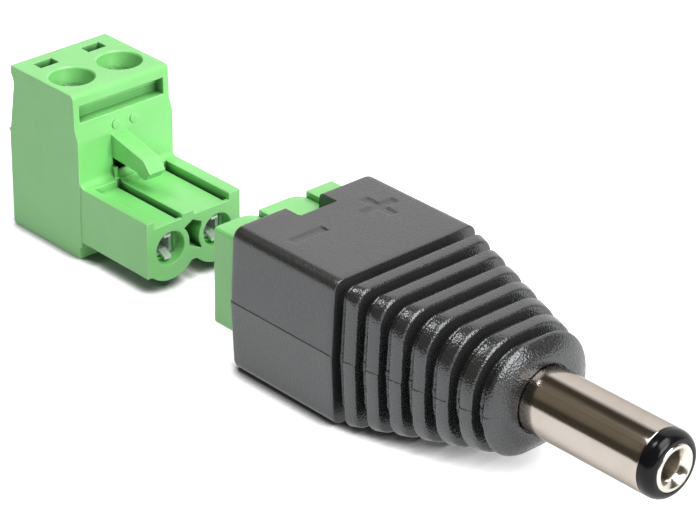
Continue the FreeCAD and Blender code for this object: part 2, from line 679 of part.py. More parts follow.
# Pin header
def header_scallops():
    """Curved dips with one upright side, one over each pole, along the header's top."""
    mouth = BODY_X - HEADER_PROUD
    cuts = []
    for index in range(POLES):
        step = pole_y(index) + SCALLOP_OFFSET
        start = step - SCALLOP_WIDTH
        low = HEADER_TOP_Z - SCALLOP_DEPTH
        over = HEADER_TOP_Z + HEADER_EDGE_R
        a = Vec(mouth, start, HEADER_TOP_Z)
        m = Vec(mouth, start + 0.55 * SCALLOP_WIDTH, HEADER_TOP_Z - 0.35 * SCALLOP_DEPTH)
        b = Vec(mouth, step, low)
        edges = [Part.Arc(a, m, b).toShape(),
                 Part.LineSegment(b, Vec(mouth, step, over)).toShape(),
                 Part.LineSegment(Vec(mouth, step, over), Vec(mouth, start, over)).toShape(),
                 Part.LineSegment(Vec(mouth, start, over), a).toShape()]
        cuts.append(Part.Face(Part.Wire(edges)).extrude(Vec(RAIL_LENGTH, 0, 0)))
    return cuts


def header_outside():
    """Outer form of the header, with scalloped rails and the step that the latch drops behind."""
    mouth = BODY_X - HEADER_PROUD
    half = HEADER_WIDTH / 2.0
    shell = box(mouth, BODY_X + HEADER_BACK, -half, half, HEADER_LOW_Z, HEADER_TOP_Z)
    long_edges = [e for e in shell.Edges if e.BoundBox.XLength > HEADER_LENGTH - 0.01]
    shell = shell.makeFillet(HEADER_EDGE_R, long_edges)
    catch = box(mouth + RAIL_LENGTH, BODY_X + NOTCH_DEPTH, NOTCH_LOW_Y, NOTCH_HIGH_Y,
                HEADER_TOP_Z - RAIL_STEP, HEADER_TOP_Z)
    return shell.cut(header_scallops() + [catch])


def header_housing(outside, pins):
    """Green header shroud, open to the back, with its pins through the floor."""
    mouth = BODY_X - HEADER_PROUD
    floor = BODY_X + HEADER_BACK - HEADER_FLOOR
    cavity = mating_section(mouth, floor, FIT_GAP, MATE_RISE)
    return outside.cut([cavity] + pins)


def header_pin(index):
    """Square pin with a pointed front end and a tail for the solder joint."""
    y = pole_y(index)
    half = PIN_SIZE / 2.0
    tip = BODY_X - HEADER_PROUD + PIN_SET_BACK
    end = BODY_X + HEADER_BACK + PIN_TAIL
    point = taper_x(tip, half - PIN_POINT, tip + PIN_POINT, half, y, AXIS_Z)
    shaft = box(tip + PIN_POINT, end, y - half, y + half, AXIS_Z - half, AXIS_Z + half)
    return join([point, shaft])


# Barrel
def barrel_sleeve():
    """Outer contact: a tube with a narrower neck and a flange that hold it in the moulding."""
    back = BODY_X + NOSE_FACE - SLEEVE_BURIED
    face = BODY_X + NOSE_FACE
    end = BODY_X + SLEEVE_END
    inner = BARREL_R - SLEEVE_WALL
    neck = BARREL_R - SLEEVE_NECK
    return turn_x(chain([(back, inner), (end, inner), (end, BARREL_R), (face, BARREL_R), (face, neck),
                         (back + SLEEVE_FLANGE, neck), (back + SLEEVE_FLANGE, SLEEVE_FLANGE_R),
                         (back, SLEEVE_FLANGE_R)]), AXIS_Z)


def barrel_insulator():
    """Black insulator: a tube inside the sleeve with the rounded ring at the barrel's tip."""
    outer = BARREL_R - SLEEVE_WALL
    inner = BORE_R + CENTRE_WALL
    back = BODY_X + NOSE_FACE - SLEEVE_BURIED - TAG_THICKNESS - INSULATOR_TAIL
    seat = BODY_X + SLEEVE_END
    end = BODY_X + TIP_END
    recess = end - RIM_THICKNESS + RIM_PROUD
    drop = (TIP_RING_R - TIP_RING_FACE_R) * (1.0 - math.sqrt(0.5))
    bend = (end - (end - seat) * 0.75 * (1.0 - math.sqrt(0.5)), TIP_RING_R - drop)
    shoulder = (seat + 0.25 * TIP_RING_LENGTH, TIP_RING_R)
    edges = [line((back, inner), (recess, inner)), line((recess, inner), (recess, RIM_R)),
             line((recess, RIM_R), (end, RIM_R)), line((end, RIM_R), (end, TIP_RING_FACE_R)),
             curve((end, TIP_RING_FACE_R), bend, shoulder),
             line(shoulder, (seat, TIP_RING_R)), line((seat, TIP_RING_R), (seat, outer)),
             line((seat, outer), (back, outer)), line((back, outer), (back, inner))]
    return turn_x(edges, AXIS_Z)


def centre_contact():
    """Inner contact: a tube with a flared rim, closed behind, and a square solder tail."""
    inner = BORE_R + CENTRE_WALL
    end = BODY_X + TIP_END + RIM_PROUD
    under = end - RIM_THICKNESS
    back = BODY_X + NOSE_FACE - SLEEVE_BURIED - TAG_THICKNESS - INSULATOR_TAIL
    bottom = end - BORE_DEPTH
    round_r = RIM_THICKNESS * 0.6
    flare = BORE_FLARE * (1.0 - math.sqrt(0.5))
    edge = round_r * (1.0 - math.sqrt(0.5))
    edges = [line((back, 0.0), (bottom, 0.0)), line((bottom, 0.0), (bottom, BORE_R)),
             line((bottom, BORE_R), (end - BORE_FLARE, BORE_R)),
             curve((end - BORE_FLARE, BORE_R), (end - flare, BORE_R + flare), (end, BORE_R + BORE_FLARE)),
             line((end, BORE_R + BORE_FLARE), (end, RIM_R - round_r)),
             curve((end, RIM_R - round_r), (end - edge, RIM_R - edge), (end - round_r, RIM_R)),
             line((end - round_r, RIM_R), (under, RIM_R)), line((under, RIM_R), (under, inner)),
             line((under, inner), (back, inner)), line((back, inner), (back, 0.0))]
    half = PIN_SIZE / 2.0
    tail = box(back - CENTRE_TAIL, back, -half, half, AXIS_Z - half, AXIS_Z + half)
    return join([turn_x(edges, AXIS_Z), tail])


def sleeve_tag():
    """Solder tag of the sleeve: a ring behind its flange with a strip towards the header."""
    front = BODY_X + NOSE_FACE - SLEEVE_BURIED
    back = front - TAG_THICKNESS
    ring = rod_x(back, front, TAG_RING_R, 0.0, AXIS_Z)
    ring = ring.cut(rod_x(back, front, BARREL_R - SLEEVE_WALL, 0.0, AXIS_Z))
    top = AXIS_Z + PIN_SIZE / 2.0
    strip = box(back - TAG_LENGTH, back, TAG_Y - TAG_WIDTH / 2.0, TAG_Y + TAG_WIDTH / 2.0,
                top - TAG_THICKNESS, top)
    return join([ring, strip])


# Links from the header's pins to the barrel
def link_ends(index):
    """X and Y of both ends of one link: over the pin's tail and over the barrel's tag."""
    start = BODY_X + HEADER_BACK + PIN_TAIL - SOLDER_LENGTH
    back = BODY_X + NOSE_FACE - SLEEVE_BURIED - TAG_THICKNESS
    if POLE_NAMES[index] == "minus":
        return (start, pole_y(index)), (back - TAG_LENGTH + SOLDER_LENGTH, TAG_Y)
    return (start, pole_y(index)), (back - INSULATOR_TAIL - CENTRE_TAIL + SOLDER_LENGTH, 0.0)


def link_path(index, trim):
    """Line, two tangent arcs and a line, level at the wires' height, shortened at both ends."""
    (x0, y0), (x1, y1) = link_ends(index)
    bend0 = x0 + WIRE_STRIPPED
    bend1 = x1 - WIRE_STRIPPED
    length = bend1 - bend0
    side = y1 - y0
    radius = (length ** 2 + side ** 2) / (4.0 * abs(side))
    turn = math.atan2(length / 2.0, radius - abs(side) / 2.0) / 2.0
    sign = 1.0 if side > 0.0 else -1.0
    dx = radius * math.sin(turn)
    dy = sign * radius * (1.0 - math.cos(turn))
    points = [Vec(bend0, y0, WIRE_Z), Vec(bend0 + dx, y0 + dy, WIRE_Z),
              Vec((bend0 + bend1) / 2.0, (y0 + y1) / 2.0, WIRE_Z),
              Vec(bend1 - dx, y1 - dy, WIRE_Z), Vec(bend1, y1, WIRE_Z)]
    edges = [Part.LineSegment(Vec(x0 + trim, y0, WIRE_Z), points[0]).toShape(),
             Part.Arc(points[0], points[1], points[2]).toShape(),
             Part.Arc(points[2], points[3], points[4]).toShape(),
             Part.LineSegment(points[4], Vec(x1 - trim, y1, WIRE_Z)).toShape()]
    return Part.Wire(edges)


def link_rod(index, radius, trim):
    """Round rod along one link's path."""
    path = link_path(index, trim)
    start = path.Edges[0].Vertexes[0].Point
    ring = Part.Wire(Part.makeCircle(radius, start, Vec(1, 0, 0)))
    return path.makePipeShell([ring], True, False)


def link_cover(index):
    """Insulation of one link between its bared ends."""
    trim = WIRE_STRIPPED * 0.9
    return link_rod(index, WIRE_COVER_R, trim).cut(link_rod(index, WIRE_R, trim))


def solder_joint(x, y, inside):
    """Rounded lump of solder over a lap joint that starts at x, less what it holds."""
    start = x - SOLDER_OVER
    end = x + SOLDER_LENGTH + SOLDER_OVER
    lump = rod_x(start, end, SOLDER_R, y, AXIS_Z + SOLDER_RISE)
    lump = lump.makeFillet(SOLDER_R / 4.0, [e for e in lump.Edges if e.BoundBox.XLength < 0.01])
    return lump.cut(inside)


def build():
    """Make every piece and write each to its own file."""
    os.makedirs("parts", exist_ok=True)
    pieces = {"terminal_housing": terminal_housing()}
    pins = [header_pin(index) for index in range(POLES)]
    cores = [link_rod(index, WIRE_R, 0.0) for index in range(POLES)]
    barrel = {"barrel_sleeve": barrel_sleeve(), "barrel_insulator": barrel_insulator(),
              "centre_contact": centre_contact(), "sleeve_solder_tag": sleeve_tag()}
    tags = [barrel["sleeve_solder_tag"], barrel["centre_contact"]]
    buried = []
    for index, name in enumerate(POLE_NAMES):
        pieces["clamp_screw_" + name] = clamp_screw(index)
        pieces["clamp_cage_" + name] = clamp_cage(index)
        pieces["socket_contact_" + name] = socket_contact(index)
        (x0, y0), (x1, y1) = link_ends(index)
        sealed = {"link_core_" + name: cores[index],
                  "link_cover_" + name: link_cover(index),
                  "solder_at_header_" + name: solder_joint(x0, y0, [pins[index], cores[index]]),
                  "solder_at_barrel_" + name: solder_joint(x1 - SOLDER_LENGTH, y1,
                                                           [tags[index], cores[index]]),
                  "header_pin_" + name: pins[index]}
        pieces.update(sealed)
        buried += list(sealed.values())
    outside = header_outside()
    pieces["header_housing"] = header_housing(outside, pins)
    pieces.update(barrel)
    buried += list(barrel.values())
    pieces["moulded_body"] = moulded_body([outside] + buried)
    for node, shape in pieces.items():
        save(shape, node)


build()
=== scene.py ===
"""Looks of a low-voltage power plug adapter, shown in its two halves.

A green screw terminal stands behind the black ribbed plug that the green pin header is moulded
into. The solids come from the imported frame, where +X runs to the barrel's tip and +Z is up.
Lengths in the classes of shapes are millimetres, which become metres in the meshes. Lengths in
the finishes and in the studio's floor, lamps and reaches are metres, as the shaders take them.
"""

import logging
import math
from dataclasses import dataclass
from enum import Enum

import bpy
import numpy as np
from mathutils import Matrix, Vector


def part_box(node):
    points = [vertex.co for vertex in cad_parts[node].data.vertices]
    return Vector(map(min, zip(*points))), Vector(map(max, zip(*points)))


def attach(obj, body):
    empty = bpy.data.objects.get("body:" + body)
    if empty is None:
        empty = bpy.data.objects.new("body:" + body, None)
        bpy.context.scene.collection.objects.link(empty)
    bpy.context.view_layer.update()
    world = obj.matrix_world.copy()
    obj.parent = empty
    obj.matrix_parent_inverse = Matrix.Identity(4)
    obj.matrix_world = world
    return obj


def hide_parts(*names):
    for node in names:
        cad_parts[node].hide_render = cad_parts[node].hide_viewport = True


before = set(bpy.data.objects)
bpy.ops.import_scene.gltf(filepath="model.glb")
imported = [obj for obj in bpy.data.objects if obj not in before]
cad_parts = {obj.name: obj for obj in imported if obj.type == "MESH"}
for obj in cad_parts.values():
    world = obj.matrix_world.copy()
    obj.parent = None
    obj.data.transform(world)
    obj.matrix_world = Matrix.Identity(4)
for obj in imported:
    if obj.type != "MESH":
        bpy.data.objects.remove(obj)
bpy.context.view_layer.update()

LOG = logging.getLogger("adapter")
MM = 0.001
HALVES = "halves"
POLES = ("minus", "plus")
WELD_STEP = 2e-6
CLOUD_ROUGHNESS = 0.55
CLEAR_SAMPLES = 8
EDGE_SAMPLES = 6

Colour = tuple[float, float, float]
Place = tuple[float, float, float]
Span = tuple[float, float]
Socket = bpy.types.NodeSocket
Piece = bpy.types.Object
Material = bpy.types.Material

# Turns (x, height over the skin) into (x, inset)
INSET = np.array([1.0, -1.0])

# Where the raw values of a cloud, a fine grain and an edge mask begin and cease to count
UNIT: Span = (0.0, 1.0)
CLOUD: Span = (0.35, 0.65)
SPECK: Span = (0.3, 0.7)
EDGE_LEAN: Span = (0.99, 0.80)


# Meshes


def lerp(a: np.ndarray | float, b: np.ndarray | float, t: np.ndarray | float) -> np.ndarray:
    """Straight-line mix of a and b by t: a (1 - t) + b t."""
    return np.asarray(a) * (1.0 - np.asarray(t)) + np.asarray(b) * np.asarray(t)


def arc(centre: tuple[float, float], radius: float, start: float, end: float,
        steps: int) -> np.ndarray:
    """Points on a circle's arc: centre + radius (cos a, sin a) for a from start to end.

    Args:
        centre: the circle's centre.
        radius: its radius.
        start: first angle in degrees.
        end: last angle in degrees.
        steps: how many points.

    Returns:
        An array of shape (steps, 2).
    """
    angle = np.radians(np.linspace(start, end, steps))
    return np.column_stack([centre[0] + radius * np.cos(angle), centre[1] + radius * np.sin(angle)])


def turned(profile: np.ndarray, axis_z: float, steps: int) -> np.ndarray:
    """Surface of revolution about the line y = 0, z = axis_z along X.

    Each profile point (x, r) sweeps to (x, r cos a, axis_z + r sin a) for a round the full turn.

    Args:
        profile: (n, 2) array of x and radius.
        axis_z: height of the axis.
        steps: points round the turn.

    Returns:
        An array of shape (n, steps, 3).
    """
    angle = np.linspace(0.0, 2.0 * np.pi, steps, endpoint=False)
    x = np.repeat(profile[:, :1], steps, axis=1)
    radius = profile[:, 1:]
    return np.stack([x, radius * np.cos(angle), axis_z + radius * np.sin(angle)], axis=-1)


def grid_quads(rows: int, columns: int, close_rows: bool) -> np.ndarray:
    """Corner numbers of the quads of a grid that closes round its columns.

    Args:
        rows: number of rows of points.
        columns: number of points in a row; the last joins the first.
        close_rows: whether the last row also joins the first.

    Returns:
        An array of shape (quads, 4).
    """
    index = np.arange(rows * columns).reshape(rows, columns)
    index = np.hstack([index, index[:, :1]])
    if close_rows:
        index = np.vstack([index, index[:1]])
    quads = np.stack([index[:-1, :-1], index[1:, :-1], index[1:, 1:], index[:-1, 1:]], axis=-1)
    return quads.reshape(-1, 4)


def outward(points: np.ndarray, faces: np.ndarray) -> np.ndarray:
    """Turn the faces so that the closed shape's signed volume is positive.

    The volume is a sixth of the sum of a . (b x c) over a fan of triangles from each face's
    first corner.

    Args:
        points: (n, 3) array of corners.
        faces: (m, k) array of corner numbers.

    Returns:
        The faces, in reverse order of corners where they faced inwards.
    """
    a = points[faces[:, 0]]
    total = 0.0
    for k in range(1, faces.shape[1] - 1):
        b = points[faces[:, k]]
        c = points[faces[:, k + 1]]
        total += float(np.einsum("ij,ij->", a, np.cross(b, c)))
    return faces if total > 0.0 else faces[:, ::-1]


def make_piece(name: str, points: np.ndarray, faces: np.ndarray, sharp_degrees: float) -> Piece:
    """Object at the origin from points in metres, smooth except across sharp bends.

    Args:
        name: the piece's name.
        points: (n, 3) array of corners in metres.
        faces: (m, k) array of corner numbers.
        sharp_degrees: bends above this angle stay crisp.

    Returns:
        The new object, in the scene's collection.
    """
    faces = outward(points, faces)
    count, corners = faces.shape
    mesh = bpy.data.meshes.new(name)
    mesh.vertices.add(len(points))
    mesh.vertices.foreach_set("co", points.astype(np.float32).ravel())
    mesh.loops.add(faces.size)
    mesh.loops.foreach_set("vertex_index", faces.astype(np.int32).ravel())
    mesh.polygons.add(count)
    mesh.polygons.foreach_set("loop_start", np.arange(0, faces.size, corners, dtype=np.int32))
    mesh.polygons.foreach_set("use_smooth", np.ones(count, bool))
    mesh.update(calc_edges=True)
    mesh.validate()
    mesh.set_sharp_from_angle(angle=math.radians(sharp_degrees))
    piece = bpy.data.objects.new(name, mesh)
    bpy.context.scene.collection.objects.link(piece)
    return piece


def swept_piece(name: str, rows: np.ndarray, sharp_degrees: float) -> Piece:
    """Piece from a grid of points in millimetres, closed round its columns and its rows.

    Args:
        name: the piece's name.
        rows: (n, m, 3) array of points.
        sharp_degrees: bends above this angle stay crisp.

    Returns:
        The new object.
    """
    quads = grid_quads(rows.shape[0], rows.shape[1], True)
    return make_piece(name, rows.reshape(-1, 3) * MM, quads, sharp_degrees)


def welded(points: np.ndarray, faces: np.ndarray) -> tuple[np.ndarray, np.ndarray]:
    """Triangles whose corners are joined where they meet.

    Corners are matched on a lattice far finer than any edge, each group keeps its first place, and
    a triangle with two corners in one group is dropped.

    Args:
        points: (n, 3) array of corners in metres.
        faces: (m, 3) array of corner numbers.

    Returns:
        The joined corners and the triangles that are left.
    """
    lattice = np.round(points / WELD_STEP).astype(np.int64)
    _, first, group = np.unique(lattice, axis=0, return_index=True, return_inverse=True)
    faces = group.reshape(-1)[faces]
    a, b, c = faces.T
    return points[first], faces[(a != b) & (b != c) & (c != a)]


def capped_piece(name: str, rows: np.ndarray, sharp_degrees: float) -> Piece:
    """Piece from a grid in millimetres whose first and last rows shrink to a point on the axis.

    Args:
        name: the piece's name.
        rows: (n, m, 3) array of points.
        sharp_degrees: bends above this angle stay crisp.

    Returns:
        The new object.
    """
    quads = grid_quads(rows.shape[0], rows.shape[1], False)
    triangles = np.concatenate([quads[:, [0, 1, 2]], quads[:, [0, 2, 3]]])
    return make_piece(name, *welded(rows.reshape(-1, 3) * MM, triangles), sharp_degrees)


def welded_copy(node: str, name: str, sharp_degrees: float) -> Piece:
    """Copy of a solid with its loose triangles joined.

    Args:
        node: the solid's name.
        name: the new piece's name.
        sharp_degrees: bends above this angle stay crisp.

    Returns:
        The new object.
    """
    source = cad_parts[node].data
    places = np.empty(len(source.vertices) * 3, np.float32)
    source.vertices.foreach_get("co", places)
    places = places.reshape(-1, 3).astype(float)
    corners = np.empty(len(source.loops), np.int32)
    source.loops.foreach_get("vertex_index", corners)
    return make_piece(name, *welded(places, corners.reshape(-1, 3)), sharp_degrees)


def settle(piece: Piece, body: str, slot: str, material: Material, *nodes: str) -> None:
    """Dress a new piece, hang it on its body and let it stand for its solids.

    Args:
        piece: the finished piece.
        body: the body that it moves with.
        slot: not used.
        material: its finish.
        nodes: the solids that it replaces.
    """
    piece.data.materials.append(material)
    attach(piece, body)
    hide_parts(*nodes)
    LOG.info("%s: %d faces on %s", piece.name, len(piece.data.polygons), body)


def dress(node: str, material: Material) -> None:
    """Give a solid that stays in view its finish.

    Args:
        node: the solid's name.
        material: its finish.
    """
    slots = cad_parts[node].data.materials
    slots.clear()
    slots.append(material)
    LOG.info("%s: finished in %s", node, material.name)


# Finishes


class Detail(Enum):
    """How much fine structure a noise has, as its number of octaves above the first."""

    PLAIN = 2.0
    SOFT = 3.0
    RICH = 4.0


class Graph:
    """Lays out the nodes of one shader tree."""

    def __init__(self, tree: bpy.types.NodeTree) -> None:
        """Empty the tree and keep it."""
        self.tree = tree
        tree.nodes.clear()

    def add(self, kind: str, values: dict | None = None, **settings: object) -> bpy.types.Node:
        """Add one node.

        Args:
            kind: Blender's node type.
            values: input name or number to a constant, or to an output socket to link from.
            settings: properties of the node.

        Returns:
            The new node.
        """
        node = self.tree.nodes.new(kind)
        for key, value in settings.items():
            setattr(node, key, value)
        for key, value in (values or {}).items():
            if isinstance(value, Socket):
                self.tree.links.new(value, node.inputs[key])
            else:
                node.inputs[key].default_value = value
        return node

    def place(self, scale: Place = (1.0, 1.0, 1.0)) -> Socket:
        """Object coordinates, stretched by scale."""
        coords = self.add("ShaderNodeTexCoord").outputs["Object"]
        return self.stretched(coords, scale)

    def stretched(self, vector: Socket, scale: Place) -> Socket:
        """Vector whose parts are multiplied by scale's."""
        return self.add("ShaderNodeMapping", {"Vector": vector, "Scale": scale}).outputs["Vector"]

    def noise(self, vector: Socket, size: float, detail: Detail) -> Socket:
        """Soft cloud whose features are about size across, in the vector's own measure."""
        values = {"Vector": vector, "Scale": 1.0 / size, "Detail": detail.value,
                  "Roughness": CLOUD_ROUGHNESS}
        return self.add("ShaderNodeTexNoise", values).outputs["Fac"]

    def remap(self, value: Socket, span: Span, onto: Span = UNIT) -> Socket:
        """Value moved from its span onto another, and held there at both ends."""
        values = {"Value": value, "From Min": span[0], "From Max": span[1],
                  "To Min": onto[0], "To Max": onto[1]}
        return self.add("ShaderNodeMapRange", values, clamp=True).outputs["Result"]

    def mix(self, factor: Socket | float, a: Socket | Colour, b: Socket | Colour) -> Socket:
        """Colour between a and b.

        Args:
            factor: 0 for a and 1 for b.
            a: first colour.
            b: second colour.

        Returns:
            The mixed colour.
        """
        node = self.add("ShaderNodeMix", data_type="RGBA")
        for key, value in ((0, factor), (6, a), (7, b)):
            if isinstance(value, Socket):
                self.tree.links.new(value, node.inputs[key])
            else:
                node.inputs[key].default_value = value if key == 0 else (*value, 1.0)
        return node.outputs[2]

    def blend(self, factor: Socket, a: Socket, b: Socket) -> Socket:
        """Number between a and b by factor."""
        return self.add("ShaderNodeMix", {0: factor, 2: a, 3: b}, data_type="FLOAT").outputs[0]

    def maths(self, operation: str, a: Socket | float, b: Socket | float) -> Socket:
        """Result of one sum on numbers or sockets."""
        return self.add("ShaderNodeMath", {0: a, 1: b}, operation=operation).outputs[0]

    def dot(self, a: Socket, b: Socket | Place) -> Socket:
        """Dot product of two vectors."""
        node = self.add("ShaderNodeVectorMath", {0: a, 1: b}, operation="DOT_PRODUCT")
        return node.outputs["Value"]

    def bump(self, height: Socket, rise: float, under: Socket | None = None) -> Socket:
        """Normal tilted by a height field.

        Args:
            height: the field, 0 to 1.
            rise: what a height of 1 means, in metres.
            under: the normal that is tilted, or None for the mesh's own.

        Returns:
            The tilted normal.
        """
        values = {"Height": height, "Distance": rise, "Strength": 1.0}
        if under is not None:
            values["Normal"] = under
        return self.add("ShaderNodeBump", values).outputs["Normal"]

    def openness(self, reach: float, own: bool = True) -> Socket:
        """How much of the half sphere over a point is clear, 0 to 1.

        Args:
            reach: how far away a shape still counts, in metres.
            own: whether only the piece's own shape counts.

        Returns:
            The clear share.
        """
        node = self.add("ShaderNodeAmbientOcclusion", {"Distance": reach}, samples=CLEAR_SAMPLES,
                        only_local=own)
        return node.outputs["AO"]

    def softened(self, radius: float) -> Socket:
        """Normal that rounds every edge by radius metres."""
        node = self.add("ShaderNodeBevel", {"Radius": radius}, samples=EDGE_SAMPLES)
        return node.outputs["Normal"]

    def edge(self, radius: float) -> Socket:
        """Mask of the edges: how far the rounded normal leans from the flat one, 0 to 1."""
        flat = self.add("ShaderNodeNewGeometry").outputs["Normal"]
        return self.remap(self.dot(self.softened(radius), flat), EDGE_LEAN)


def new_material(name: str) -> tuple[Material, Graph]:
    """Empty material of this name, and the graph that fills it.

    Args:
        name: the material's name.

    Returns:
        The material and its graph.
    """
    material = bpy.data.materials.new(name)
    material.use_nodes = True
    return material, Graph(material.node_tree)


def close_material(graph: Graph, values: dict) -> None:
    """End a graph in one Principled shader with these inputs."""
    shader = graph.add("ShaderNodeBsdfPrincipled", values)
    graph.add("ShaderNodeOutputMaterial", {"Surface": shader.outputs[0]})


@dataclass(frozen=True)
class GreenPlastic:
    """Satin moulded polyamide: faint clouds, a spark-eroded skin, painted shade in hollows and a
    painted highlight along edges.
    """

    name: str
    colour: Colour
    deep: Colour
    # painted shade: the dark green that hollows are darkened towards
    hollow_shade: Colour = (0.025, 0.125, 0.030)
    # painted highlight: the paler green that edges are lightened towards, and how far
    edge_highlight: Colour = (0.50, 0.90, 0.45)
    edge_highlight_share: float = 0.9
    edge: float = 0.00014
    cloud_size: float = 0.0035
    grain: float = 0.00016
    grain_rise: float = 0.0000035
    roughness: Span = (0.31, 0.45)
    hollow_shade_reach: float = 0.0016
    hollow_shade_span: Span = (0.24, 0.62)

    def build(self) -> Material:
        """Make the material.

        Returns:
            The finished material.
        """
        material, graph = new_material(self.name)
        place = graph.place()
        tint = graph.remap(graph.noise(place, self.cloud_size, Detail.SOFT), CLOUD)
        speck = graph.noise(place, self.grain, Detail.PLAIN)
        skin = graph.mix(tint, self.deep, self.colour)
        # painted highlight: edges lightened by how far the rounded normal leans from the flat one
        painted_highlight = graph.maths("MULTIPLY", graph.edge(self.edge), self.edge_highlight_share)
        # painted shade: hollows darkened where little of the half sphere over a point is open
        clear = graph.remap(graph.openness(self.hollow_shade_reach), self.hollow_shade_span)
        close_material(graph, {
            "Base Color": graph.mix(clear, self.hollow_shade, graph.mix(painted_highlight, skin, self.edge_highlight)),
            "Roughness": graph.remap(speck, SPECK, self.roughness),
            "IOR": 1.5,
            "Specular IOR Level": 0.95,
            "Subsurface Weight": 0.1,
            "Subsurface Radius": (0.3, 1.0, 0.3),
            "Subsurface Scale": 0.0004,
            "Normal": graph.bump(speck, self.grain_rise, graph.softened(self.edge)),
        })
        return material


@dataclass(frozen=True)
class BlackMoulding:
    """Black soft plastic with a fine leather grain of raised cells, glossier on their tops.

    The ribbed tail is more polished and more coarsely grained than the block, and painted
    shade darkens its grooves and other hollows.
    """

    name: str
    tail_start: float
    colour: Colour = (0.019, 0.019, 0.019)
    worn: Colour = (0.025, 0.025, 0.025)
    # painted shade: the near-black colour that grooves and hollows are darkened towards
    groove: Colour = (0.003, 0.003, 0.003)
    groove_shade_reach: float = 0.0012
    groove_shade_span: Span = (0.12, 0.45)
    edge: float = 0.0001
    cloud_size: float = 0.004
    cell: float = 0.00015
    cell_rise: float = 0.000022
    cell_span: Span = (0.3, 0.9)
    wobble: float = 0.0001
    wobble_size: float = 0.0004
    satin: Span = (0.40, 0.26)
    polish: Span = (0.31, 0.15)
    tail_blend: float = 0.0004
    tail_grain: float = 1.3

    def leather(self, graph: Graph, place: Socket) -> Socket:
        """Height of the grain: 1 less the smooth distance to the nearest cell's middle.

        Args:
            graph: the material's graph.
            place: object coordinates.

        Returns:
            The height, about 0 to 1.
        """
        cloud = graph.noise(place, self.wobble_size, Detail.PLAIN)
        shift = graph.add("ShaderNodeVectorMath", {0: cloud, "Scale": self.wobble},
                          operation="SCALE")
        moved = graph.add("ShaderNodeVectorMath", {0: place, 1: shift.outputs[0]}, operation="ADD")
        cells = graph.add("ShaderNodeTexVoronoi", {
            "Vector": moved.outputs[0], "Scale": 1.0 / self.cell}, feature="SMOOTH_F1")
        return graph.maths("SUBTRACT", 1.0, cells.outputs["Distance"])

    def build(self) -> Material:
        """Make the material.

        Returns:
            The finished material.
        """
        material, graph = new_material(self.name)
        place = graph.place()
        height = self.leather(graph, place)
        along = graph.add("ShaderNodeSeparateXYZ", {"Vector": place}).outputs["X"]
        tail = graph.remap(along, (self.tail_start, self.tail_start + self.tail_blend))
        satin = graph.remap(height, self.cell_span, self.satin)
        polish = graph.remap(height, self.cell_span, self.polish)
        tint = graph.remap(graph.noise(place, self.cloud_size, Detail.SOFT), CLOUD)
        skin = graph.mix(tint, self.colour, self.worn)
        # painted shade: grooves and hollows darkened where the piece's own shape closes them in
        clear = graph.remap(graph.openness(self.groove_shade_reach), self.groove_shade_span)
        relief = graph.maths("MULTIPLY", height, graph.remap(tail, UNIT, (1.0, self.tail_grain)))
        close_material(graph, {
            "Base Color": graph.mix(clear, self.groove, skin),
            "Roughness": graph.blend(tail, satin, polish),
            "IOR": 1.52,
            "Specular IOR Level": 0.85,
            "Specular Tint": (0.94, 0.97, 1.0, 1.0),
            "Normal": graph.bump(relief, self.cell_rise, graph.softened(self.edge)),
        })
        return material


@dataclass(frozen=True)
class GlossPlastic:
    """Smooth plastic with a polish that hardly varies."""

    name: str
    colour: Colour
    roughness: float
    paler: float = 1.6
    haze_size: float = 0.0009
    haze_rise: float = 0.000002
    spread: Span = (0.8, 1.3)

    def build(self) -> Material:
        """Make the material.

        Returns:
            The finished material.
        """
        material, graph = new_material(self.name)
        haze = graph.noise(graph.place(), self.haze_size, Detail.SOFT)
        rough = tuple(self.roughness * share for share in self.spread)
        close_material(graph, {
            "Base Color": graph.mix(haze, self.colour, tuple(self.paler * c for c in self.colour)),
            "Roughness": graph.remap(haze, SPECK, rough),
            "IOR": 1.5,
            "Specular IOR Level": 0.22,
            "Normal": graph.bump(haze, self.haze_rise),
        })
        return material


class Lay(Enum):
    """Which way a metal surface's fine lines run, as the pattern's repeats a metre."""

    ROUND_X = (9000.0, 60.0, 60.0)
    ALONG_X = (120.0, 6000.0, 6000.0)
    FLAT_Z = (2500.0, 2500.0, 120.0)


@dataclass(frozen=True)
class PlatedMetal:
    """Plated metal: drawn or turned lines, slight tarnish clouds and handling haze."""

    name: str
    colour: Colour
    tarnish: Colour
    roughness: float
    lay: Lay
    metallic: float = 1.0
    line_rise: float = 0.0000012
    line_span: Span = (0.25, 0.75)
    spread: Span = (0.75, 1.35)
    cloud_size: float = 0.0022
    cloud_span: Span = (0.45, 0.75)
    stain: Span = (0.0, 0.6)
    edge: float = 0.00004

    def build(self) -> Material:
        """Make the material.

        Returns:
            The finished material.
        """
        material, graph = new_material(self.name)
        lines = graph.noise(graph.place(self.lay.value), 1.0, Detail.PLAIN)
        cloud = graph.noise(graph.place(), self.cloud_size, Detail.RICH)
        stain = graph.remap(cloud, self.cloud_span, self.stain)
        rough = tuple(self.roughness * share for share in self.spread)
        close_material(graph, {
            "Base Color": graph.mix(stain, self.colour, self.tarnish),
            "Metallic": self.metallic,
            "Specular Tint": (0.62, 0.60, 0.58, 1.0),
            "Roughness": graph.remap(lines, self.line_span, rough),
            "Normal": graph.bump(lines, self.line_rise, graph.softened(self.edge)),
        })
        return material


# Black moulding


